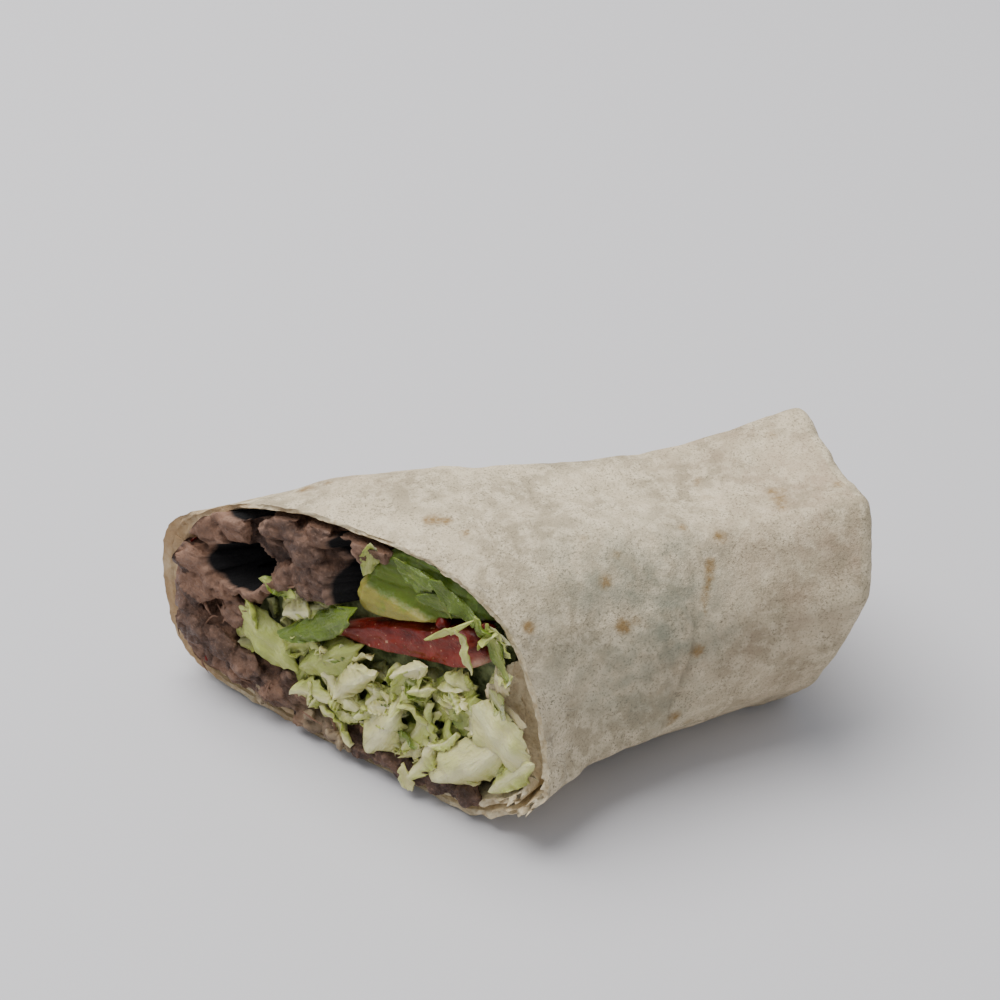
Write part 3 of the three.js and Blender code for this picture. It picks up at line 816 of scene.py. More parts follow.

# %% [markdown]
# ## The beef
# It is chopped, cooked and pressed together, so at the cut one sees torn lumps with a grain,
# wet hollows between them, dark with painted shade, and a few stray fibres. Single balls would
# look like beads.
# Instead uneven lumps are piled on a core, a voxel remesh melts them into one skin, as the
# pressing did, and the grain of each lump is then cut back into that skin.

# %% Lumps of meat
BEEF_OUTLINE = [
    (0, 44.3), (-12, 42.6), (-22, 37.6), (-28, 28.5), (-27.5, 14), (-22, 5.5), (-8, 3.2), (8, 2.6),
    (22, 4.2), (24, 6), (12, 6.2), (4, 6.8), (-5, 8), (-9, 11), (-17, 13.5), (-17.3, 21),
    (-13.5, 28), (-8.5, 30), (0, 31.5), (0.3, 39), (2, 43),
]
MEAT_GAPS = [  # across, up, half width, half height, depth
    (-18.2, 29.5, 4.6, 3.6, 11), (-2.4, 41.4, 2.9, 2.1, 10), (-1.2, 35.0, 1.9, 4.2, 10),
    (-19.5, 40.8, 4.6, 1.5, 7), (-10.6, 36.0, 1.6, 1.1, 6), (-14.0, 36.4, 1.8, 0.9, 5),
]
HERO_LUMPS = [  # across, up, out, radius, tone
    (-5.4, 33.6, 0.6, 4.0, 0.3), (-8.0, 38.8, 0.0, 3.6, 0.35), (-6.6, 43.0, -0.8, 2.6, 0.5),
    (-25.4, 27.2, 0.6, 4.6, 0.95), (-24.2, 22.2, 1.0, 4.2, 0.95), (-24.0, 33.4, 0.0, 3.6, 0.9),
    (-13.6, 39.4, -0.2, 2.8, 0.45), (-19.6, 36.6, 0.2, 3.2, 0.85), (-10.4, 31.6, 0.6, 2.6, 0.5),
    (-15.4, 25.6, 1.2, 2.6, 0.85), (-20.4, 23.4, 1.4, 2.6, 0.95), (-23.8, 12.6, 1.4, 4.8, 0.3),
    (-19.4, 11.8, 1.8, 3.8, 0.25), (-26.4, 18.0, 1.0, 3.6, 0.4), (-14.6, 9.4, 1.4, 3.4, 0.6),
    (-21.4, 7.6, 1.4, 3.4, 0.4), (-15.8, 7.2, 1.4, 2.8, 0.85), (-11.0, 7.0, 1.2, 2.6, 0.8),
    (0.6, 44.0, 0.0, 2.2, 0.7), (3.2, 44.4, 0.0, 1.9, 0.7), (-2.0, 45.0, -0.6, 1.4, 0.5),
    (1.4, 44.6, -0.6, 1.8, 0.5), (-17.4, 19.4, 1.0, 3.2, 0.7), (-27.6, 10.0, 1.0, 3.0, 0.4),
    (-21.6, 23.6, 2.6, 1.9, 1.0), (-18.6, 25.6, 2.6, 1.7, 0.95), (-15.4, 27.4, 2.4, 1.6, 0.95),
    (-12.6, 28.8, 2.0, 1.5, 0.9),
]


def inside_outline(across, up, outline):
    inside = False
    for (x1, z1), (x0, z0) in zip(outline, outline[-1:] + outline[:-1]):
        if (z1 > up) != (z0 > up) and across < (x0 - x1) * (up - z1) / (z0 - z1) + x1:
            inside = not inside
    return inside


def gap_depth(across, up):
    """How deep the hollows between the lumps are at a place."""
    deepest = 0.0
    for x, z, half_width, half_height, depth in MEAT_GAPS:
        share = math.hypot((across - x) / half_width, (up - z) / half_height)
        share += 0.10 * noise.noise(Vector((across / 2.6, up / 2.6, 3)))
        deepest = max(deepest, depth * (1 - smooth(share, 0.92, 1.12)))
    return deepest


BOXINESS = 2.8               # 2 would make round lumps, more makes chopped ones


def lump(place, radius, rng):
    """A chopped piece, uneven, squashed and turned at random."""
    shape = bmesh.new()
    bmesh.ops.create_icosphere(shape, subdivisions=3, radius=1)
    offset = Vector((rng.uniform(0, 99), rng.uniform(0, 99), rng.uniform(0, 99)))
    for vert in shape.verts:
        boxy = sum(abs(value) ** BOXINESS for value in vert.co) ** (-1 / BOXINESS)
        uneven = 1 + 0.36 * noise.noise(vert.co * 1.1 + offset) + 0.14 * noise.noise(
            vert.co * 2.6 + offset)
        vert.co *= radius * boxy * uneven
    squash = Matrix.Diagonal((rng.uniform(0.95, 1.35), rng.uniform(0.6, 0.9), 1, 1))
    turned = Matrix.Rotation(rng.uniform(0, 6.3), 4, Vector((1, 0.4, rng.uniform(-1, 1))))
    bmesh.ops.transform(shape, verts=shape.verts, matrix=turned @ squash)
    bmesh.ops.translate(shape, verts=shape.verts, vec=cut_point(*place))
    return shape


print(len(HERO_LUMPS), "large lumps of meat")

# %% Cores
def grown_parts(result):
    """The new points and faces that an extrusion made."""
    parts = result["geom"]
    return ([part for part in parts if isinstance(part, bmesh.types.BMVert)],
            [part for part in parts if isinstance(part, bmesh.types.BMFace)])


def core_of(outline, sunk, first_station, last_station, steps):
    """A closed core that runs along the roll inside an outline."""
    shape = bmesh.new()
    points = 3 * len(outline)
    bmesh.ops.create_circle(shape, cap_ends=True, segments=points, radius=1)
    for i, vert in enumerate(shape.verts):
        across, up = place_on(outline, i / points)
        vert.co = (across, 0, up)
    end = shape.faces[:]
    for _ in range(steps):
        verts, end = grown_parts(bmesh.ops.extrude_face_region(shape, geom=end))
        bmesh.ops.translate(shape, verts=verts, vec=(0, 1, 0))
    for vert in shape.verts:
        across, step, up = vert.co
        station = mix(first_station, last_station, step / steps)
        vert.co = filling_point(across, up, station) + Vector((0, sunk * (step == 0), 0))
    return shape


print("cores run inside the tortilla to the folded end")

# %% Pile the lumps and melt them together
VOXEL = 0.42
LUMPS = 130                  # that fill the cut, with the large ones
RIM_LUMPS = 64               # small torn ones that hang over the rim at the base
beef_random = random.Random(3)
lumps = list(HERO_LUMPS)
while len(lumps) < LUMPS:
    x, z = beef_random.uniform(-29, 24), beef_random.uniform(2.5, 44)
    radius = beef_random.uniform(1.3, 2.7)
    clear = all(gap_depth(x + dx, z + dz) == 0
                for dx, dz in ((radius, 0), (-radius, 0), (0, radius), (0, -radius)))
    if inside_outline(x, z, BEEF_OUTLINE) and clear:
        lumps.append((x, z, beef_random.uniform(-2.5, 0.6), radius, beef_random.random()))
for _ in range(RIM_LUMPS):
    x = beef_random.uniform(-24, 26)
    rim = mix(5.2, 2.2, smooth(x, -12, -2)) + 0.06 * max(x - 8, 0) + 0.35 * max(-18 - x, 0)
    lightest = mix(1, 0.4, smooth(x, 0, 8))
    lumps.append((x, rim + beef_random.uniform(-0.4, 2.6), beef_random.uniform(-0.4, 1.7),
                  beef_random.uniform(0.9, 2.1), beef_random.uniform(0, lightest)))


def melted(shape, voxel):
    """One closed skin round everything in the shape."""
    mesh = bpy.data.meshes.new("melting")
    shape.to_mesh(mesh)
    shape.free()
    holder = bpy.data.objects.new("melting", mesh)
    bpy.context.scene.collection.objects.link(holder)
    remesh = holder.modifiers.new("melt", "REMESH")
    remesh.mode = "VOXEL"
    remesh.voxel_size = voxel
    evaluated = holder.evaluated_get(bpy.context.evaluated_depsgraph_get())
    skin = bmesh.new()
    skin.from_mesh(evaluated.to_mesh())
    evaluated.to_mesh_clear()
    bpy.data.objects.remove(holder)
    bpy.data.meshes.remove(mesh)
    return skin


pile = [lump((x, z, out), radius, beef_random) for x, z, out, radius, _ in lumps]
pile.append(core_of(BEEF_OUTLINE, 2.5, 0, 0.16, 5))
meat = melted(joined(pile), VOXEL)
for _ in range(4):
    bmesh.ops.smooth_vert(meat, verts=meat.verts, factor=0.5,
                          use_axis_x=True, use_axis_y=True, use_axis_z=True)
print("melted skin has", len(meat.faces), "faces")

# %% Cut the grain of the meat back in
grain_random = random.Random(8)
lump_tree = kdtree.KDTree(len(lumps))
for i, (x, z, out, _, _) in enumerate(lumps):
    lump_tree.insert(cut_point(x, z, out), i)
lump_tree.balance()
grains = [Vector([grain_random.uniform(-1, 1) for _ in range(3)]).normalized() for _ in lumps]


def grain_height(point, grain):
    """Torn relief: rough all over, and drawn out along the grain."""
    drawn = point - grain * point.dot(grain) * 0.82
    rough = 0.60 * noise.noise(point / 3.8) + 0.27 * noise.noise(point / 1.4)
    crevice = 1 - smooth(abs(noise.noise(point / 4.6 + grain * 4)), 0, 0.09)
    return rough - 0.32 * crevice + 0.30 * (0.5 - abs(noise.noise(drawn / 1.1)) * 2)


def hollowness(shape, passes):
    """How far each point lies in a dent, from -1 on a ridge to 1 in a crevice."""
    shape.normal_update()
    dents = [max(-1, min(1, 3 * sum((edge.other_vert(vert).co - vert.co).dot(vert.normal)
                                    for edge in vert.link_edges) / len(vert.link_edges)))
             for vert in shape.verts]
    for _ in range(passes):
        dents = [(dents[vert.index] + sum(dents[edge.other_vert(vert).index]
                                          for edge in vert.link_edges))
                 / (1 + len(vert.link_edges)) for vert in shape.verts]
    return dents


tone = meat.verts.layers.float.new("tone")
pale_fat = meat.verts.layers.float.new("pale")
dent = meat.verts.layers.float.new("dent")
gap = meat.verts.layers.float.new("gap")
meat.normal_update()
for vert in meat.verts:
    _, nearest, _ = lump_tree.find(vert.co)
    vert[tone] = lumps[nearest][4]
    height = grain_height(vert.co, grains[nearest])
    across, up, out = over_cut(vert.co)
    pit = gap_depth(across, up) * smooth(out, -9, -1)
    # how deep the point lies in a hollow; the finish paints shade there
    vert[gap] = pit / 9
    vert[pale_fat] = 0.5 * math.exp(-((across + 2) / 3.4) ** 2 - ((up - 4.5) / 3) ** 2)
    hangs_out = (1 - smooth(up, 7, 12)) * smooth(across, -14, -6)
    cut_off = mix(0.4, 0.1, hangs_out) * max(out - 1.4, 0)
    vert.co = held_in(vert.co + vert.normal * height - OUTWARD * cut_off,
                      0.97, mix(1.0, 1.12, hangs_out), 2)
    vert.co.y += pit
meat.verts.index_update()
for vert, value in zip(meat.verts, hollowness(meat, 2)):
    vert[dent] = value
print("grain cut into", len(meat.verts), "points")

# %% Stray fibres, pale bits, and the piece
PALE_BITS = [  # across, up, out, radius: fat and crumbs caught in the meat
    (-11.5, 6.2, 1.8, 1.2), (-10.9, 4.8, 2.0, 1.1), (1.2, 4.2, 1.8, 1.2), (2.4, 3.4, 1.9, 1.2),
    (3.6, 3.0, 1.6, 0.9), (-3.2, 5.6, 1.6, 1.0),
]
FIBRE_TRIES = 60             # places tried; a fibre lies where no hollow is near
FIBRE_SEED = 7
noise.seed_set(FIBRE_SEED)   # noise_vector starts from the clock unless it is seeded


def strand(place, length, thickness, heading, rng):
    """A thin torn fibre lying over the cut."""
    shape = bmesh.new()
    bmesh.ops.create_icosphere(shape, subdivisions=3, radius=1)
    along = ALONG * math.cos(heading) + UPWARD * math.sin(heading)
    offset = rng.uniform(0, 99)
    for vert in shape.verts:
        x, y, z = vert.co
        taper = 1 - 0.6 * abs(z)
        sway = noise.noise_vector(Vector((z * 0.9, offset, 0))) * length * 0.22
        across = along.cross(OUTWARD)
        vert.co = (cut_point(*place) + along * z * length / 2 + across * x * thickness * taper
                   + OUTWARD * y * thickness * taper + sway)
    return shape


extras = []
for x, z, out, radius in PALE_BITS:
    bit = lump((x, z, out), radius, beef_random)
    pale = bit.verts.layers.float.new("pale")
    for vert in bit.verts:
        vert[pale] = 0.6 + 0.6 * noise.noise(vert.co)
        vert.co += 0.5 * noise.noise_vector(vert.co / 1.1)
    extras.append(bit)
for _ in range(FIBRE_TRIES):
    x, z = beef_random.uniform(-27, 1), beef_random.uniform(5, 42)
    clear = all(gap_depth(x + dx, z + dz) == 0 for dx in (-3, 0, 3) for dz in (-3, 0, 3))
    if inside_outline(x, z, BEEF_OUTLINE) and clear:
        fibre = strand((x, z, beef_random.uniform(1.6, 3)), beef_random.uniform(3, 7),
                       beef_random.uniform(0.18, 0.36), beef_random.uniform(0, 3.1), beef_random)
        fibre_tone = fibre.verts.layers.float.new("tone")
        for vert in fibre.verts:
            vert[fibre_tone] = 0.9
        extras.append(fibre)

meat_finish = Finish("cooked beef")
blotches = meat_finish.noise(2.2, 4, 0.6)
threads = meat_finish.noise(0.5, 4, 0.7)
lightness = (meat_finish.attribute("tone") * 0.55 + blotches * 0.9 - 0.25).between(0.1, 0.95)
flesh = meat_finish.blend(lightness, (0.046, 0.021, 0.012, 1), (0.262, 0.135, 0.080, 1))
flesh = meat_finish.blend(threads.between(0.5, 0.75) * 0.4, flesh, (0.38, 0.215, 0.14, 1))
# Painted highlight: the ridges of the meat are lightened in its colour.
flesh = meat_finish.blend((0 - meat_finish.attribute("dent")).between(0.02, 0.3) * 0.4, flesh,
                          (0.42, 0.25, 0.17, 1))
# Painted shade: the meat is darkened in its crevices.
flesh = meat_finish.blend(meat_finish.attribute("dent").between(0.02, 0.4) * 0.75, flesh,
                          (0.030, 0.012, 0.006, 1))
# Painted shade: the walls of the deep hollows between the lumps are painted nearly black, and made
# rough.
hollow_shade = meat_finish.attribute("gap").between(0.05, 0.2)
flesh = meat_finish.blend(hollow_shade, flesh, (0.002, 0.001, 0.001, 1))
flesh = meat_finish.blend(meat_finish.attribute("pale"), flesh, (0.50, 0.37, 0.22, 1))
meat_finish.bump(threads + meat_finish.noise(1.2, 3) * 0.6, 0.5)
shine = meat_finish.noise(1.6, 3).between(0.2, 0.8) * 0.35 + 0.32
meat_finish.set(Base_Color=flesh, Roughness=shine.greater(hollow_shade), Specular_IOR_Level=0.45)
make_piece("beef_front", joined([meat, *extras]), [meat_finish], "beef", sharp=180)
make_piece("beef_core", core_of(BEEF_OUTLINE, 0, 0.15, 0.86, 7), [meat_finish], "beef")

# %% [markdown]
# ## The avocado and the tomato
# Both are slices that run back through the roll, so each is a thick sheet: its face at the cut is
# domed and smeared by the knife, its sides follow the layers it lies between. The face is laid
# in rings from the slice's middle out to its outline, so the colours can follow the rind.

# %% Slices
TOMATO_OUTLINE = [
    (-3.3, 25.4), (-1.1, 23.7), (6, 25.2), (12.7, 27.2), (19.6, 30), (20.2, 34), (17.7, 36.6),
    (12, 34.3), (5.9, 31.4),
]
AVOCADO_OUTLINE = [
    (0.6, 39), (1, 32.5), (6, 32), (12, 35), (17, 38), (21.8, 41), (18, 45), (12, 47), (6, 47),
    (2.4, 43),
]


def middle_of(outline):
    return [sum(values) / len(outline) for values in zip(*outline)]


def slice_place(outline, u, v):
    """Squares of a flat sheet become rings of a slice: returns across, up, and 0 to 1 outwards."""
    share = max(abs(u), abs(v))
    if share == 0:
        turn = 0
    elif abs(u) == share:
        turn = (v / share + 1) / 8 if u > 0 else (5 - v / share) / 8
    else:
        turn = (3 - u / share) / 8 if v > 0 else (u / share + 7) / 8
    middle = middle_of(outline)
    across, up = place_on(outline, turn)
    return mix(middle[0], across, share), mix(middle[1], up, share), share


def make_slice(outline, columns, back_station, shrink, surface):
    """A slice with its face at the cut, running back to a station."""
    shape = flat_sheet(columns, columns, rim_rows=8)
    face = shape.verts.layers.float.new("face")
    rind = shape.verts.layers.float_vector.new("place")
    middle = middle_of(outline)
    for vert in shape.verts:
        u, v, through = vert.co.x, vert.co.y, -vert.co.z
        across, up, share = slice_place(outline, u, v)
        across = mix(middle[0], across, shrink)
        up = mix(middle[1], up, shrink)
        vert[rind] = (across, up, share)
        vert[face] = share
        if through < 0.01:
            vert.co = cut_point(across, up, surface(across, up, share))
        else:
            vert.co = filling_point(across, up, back_station * through ** 1.5)
    return shape


def tomato_surface(across, up, share):
    """Cut flesh: domed, with soft seed hollows, rounded off at the skin."""
    flesh = 0.5 * noise.noise(Vector((across / 2.6, up / 2.6, 1)))
    flesh += 0.22 * noise.noise(Vector((across / 0.9, up / 0.9, 4)))
    return 0.9 + flesh - 1.1 * smooth(share, 0.82, 1)


def wedge_edge(across):
    """The height at which the pale wedge in front ends."""
    return 37.4 - 0.12 * (across - 2)


def avocado_surface(across, up, share):
    """Soft flesh dragged by the knife, with the step between its two wedges."""
    drag = 0.55 * noise.noise(Vector((across / 6, up / 1.8, 2)))
    drag += 0.3 * noise.noise(Vector((across / 2.4, up / 0.9, 7)))
    step = smooth(up - wedge_edge(across), -0.5, 0.5)
    return 1.5 + drag - 1.6 * step - 1.3 * smooth(share, 0.85, 1)


tomato_flesh = Finish("tomato")
across, up = tomato_flesh.across_and_up()
lower = across * 0.26 - up + 27.2          # rises towards the lower skin
to_skin = tomato_flesh.attribute("face")
clouded = tomato_flesh.noise(2.8, 3).between(0.35, 0.7)
red = tomato_flesh.blend(clouded, (0.088, 0.005, 0.002, 1), (0.185, 0.013, 0.006, 1))
paler_end = across.between(11, 19) * tomato_flesh.noise(1.7, 3).between(0.35, 0.65)
red = tomato_flesh.blend(paler_end * 0.6, red, (0.34, 0.075, 0.05, 1))
red = tomato_flesh.blend(lower.between(-1.6, 0.4) * 0.4, red, (0.30, 0.05, 0.03, 1))
red = tomato_flesh.blend(to_skin.between(0.84, 0.95) * lower.between(-1, 1) * 0.8, red,
                         (0.60, 0.34, 0.24, 1))
red = tomato_flesh.blend(tomato_flesh.noise(0.8, 2).between(0.66, 0.72) * 0.6, red,
                         (0.6, 0.34, 0.2, 1))
tomato_flesh.bump(tomato_flesh.noise(0.7, 3), 0.2)
tomato_flesh.set(Base_Color=red, Roughness=0.32, Subsurface_Weight=0.15, Subsurface_Scale=0.001,
                 Specular_IOR_Level=0.25, Coat_Weight=0.05, Coat_Roughness=0.1)

rich_flesh = Finish("avocado")
across, up = rich_flesh.across_and_up()
above_wedge = up + across * 0.12 - 37.64 + rich_flesh.noise(2, 3) * 1.6 - 0.8
streaks = rich_flesh.noise(2.2, 4, 0.6, None, (1, 1, 0.5))
flesh_colour = rich_flesh.blend(above_wedge.between(-0.4, 0.5), (0.28, 0.245, 0.050, 1),
                                (0.105, 0.150, 0.012, 1))
flesh_colour = rich_flesh.blend((across + streaks * 4).between(13.5, 16.5), flesh_colour,
                                (0.100, 0.145, 0.018, 1))
flesh_colour = rich_flesh.blend(above_wedge.between(3.5, 7) * 0.8, flesh_colour,
                                (0.050, 0.078, 0.008, 1))
flesh_colour = rich_flesh.blend(across.between(14, 19) * 0.8, flesh_colour,
                                (0.046, 0.072, 0.007, 1))
flesh_colour = rich_flesh.blend(streaks.between(0.52, 0.7) * 0.5, flesh_colour,
                                (0.145, 0.220, 0.025, 1))
rich_flesh.bump(rich_flesh.noise(0.9, 3), 0.25)
rich_flesh.set(Base_Color=flesh_colour, Roughness=0.4, Subsurface_Weight=0.15,
               Subsurface_Scale=0.001, Specular_IOR_Level=0.25)

RED_BITS = [  # across, up, out, radius: small bits of tomato beside the slice
    (-26.6, 30.2, 0.6, 0.8), (-20.6, 7.8, 2.4, 0.6), (13.4, 35.8, -0.8, 1.1),
    (19.6, 38.0, -0.6, 1.4), (20.2, 34.6, -0.6, 1.1),
]
BIT_PLACE = (5, 34, 0.5)     # they take the colour of the flesh there
bits_random = random.Random(4)
red_pieces = [make_slice(TOMATO_OUTLINE, 44, 0.84, 0.96, tomato_surface)]
for across, up, out, radius in RED_BITS:
    bit = lump((across, up, out), radius, bits_random)
    where = bit.verts.layers.float_vector.new("place")
    for vert in bit.verts:
        vert[where] = BIT_PLACE
        vert.co = held_in(vert.co, 0.97, 1.0)
    red_pieces.append(bit)
make_piece("tomato_slice", joined(red_pieces), [tomato_flesh], "tomato", sharp=70)
make_piece("avocado_slice", make_slice(AVOCADO_OUTLINE, 52, 0.84, 0.95, avocado_surface),
           [rich_flesh], "avocado", sharp=70)

# %% [markdown]
# ## The lettuce
# Shredded iceberg is torn sheets: pale, juicy ribs a millimetre and a half thick that thin out
# to green, frilled edges. Many small leaves lie any way over a core, and a few large ones are
# placed one by one where the cut shows them. Each leaf is a thin closed sheet, cupped, ruffled and
# twisted, never a flat card.

# %% One leaf
def leaf(place, length, width, heading, roll=0, pitch=0, out=0.0, cup=0.3, bow=0.15, ruffle=0.5,
         waves=1.5, thick=0.8, rib=0.5, green=0.2, edge=0.3, tan=0.0, seed=0, spread=1.10):
    """A torn piece of leaf over the cut, in degrees and millimetres. Below 0, cup and bow bulge
    out of the cut."""
    rows = max(round(length * 1.4), round(waves * 13), 10)
    shape = flat_sheet(max(round(width * 1.6), 6), rows)
    tint = shape.verts.layers.float.new("green")
    white = shape.verts.layers.float.new("rib")
    beige = shape.verts.layers.float.new("tan")
    deep = shape.verts.layers.float.new("deep")
    on_leaf = shape.verts.layers.float_vector.new("place")
    long_way = ALONG * math.cos(math.radians(heading)) + UPWARD * math.sin(math.radians(heading))
    facing = Matrix.Rotation(math.radians(roll), 3, long_way) @ OUTWARD
    side = long_way.cross(facing)
    tilt = Matrix.Rotation(math.radians(pitch), 3, side)
    long_way, facing = tilt @ long_way, tilt @ facing
    middle = cut_point(*place, out)
    for vert in shape.verts:
        u, v, through = vert.co.x, vert.co.y, -vert.co.z
        ragged = 1 + 0.34 * noise.noise(Vector((v * 1.3, seed, u))) + 0.09 * noise.noise(
            Vector((v * length / 2.4, seed, 3 + u)))
        half = width / 2 * ragged * math.sqrt(1 - 0.6 * v * v)
        far = length / 2 * math.sqrt(1 - 0.6 * u * u) * (
            1 + 0.30 * noise.noise(Vector((u * 1.2, seed, 7)))
            + 0.08 * noise.noise(Vector((u * width / 2.4, seed, 9))))
        a, b = u * half, v * far
        crumple = noise.noise(Vector((a / 3.0, b / 3.4, seed * 1.7)))
        fine = noise.noise(Vector((a / 1.1, b / 1.6, seed * 1.7 + 5)))
        height = cup * half * u * u + bow * far * v * v + 1.25 * crumple + 0.26 * fine
        height += ruffle * abs(u) ** 1.6 * math.sin(math.pi * waves * v * 2 + seed + 2 * crumple)
        body = math.exp(-(u / 0.3) ** 2)
        thickness = mix(0.22, thick, 1 - u * u) * (1 - 0.35 * abs(v) ** 3) + rib * body
        height += (0.5 - through) * thickness
        vert[tint] = green + edge * abs(u) ** 1.5 + 0.15 * crumple
        vert[white] = body * min(1, rib * 1.6)
        vert[beige] = tan
        vert[on_leaf] = (a, b, seed * 7)
        vert.co = held_in(middle + side * a + long_way * b + facing * height, 0.95, spread)
        # how far back behind the cut the point lies; the finish darkens it there as painted shade
        vert[deep] = 1 - smooth(over_cut(vert.co)[2], -2.2, 1.2)
    return shape


print("a leaf needs a place, a length, a width and a heading")
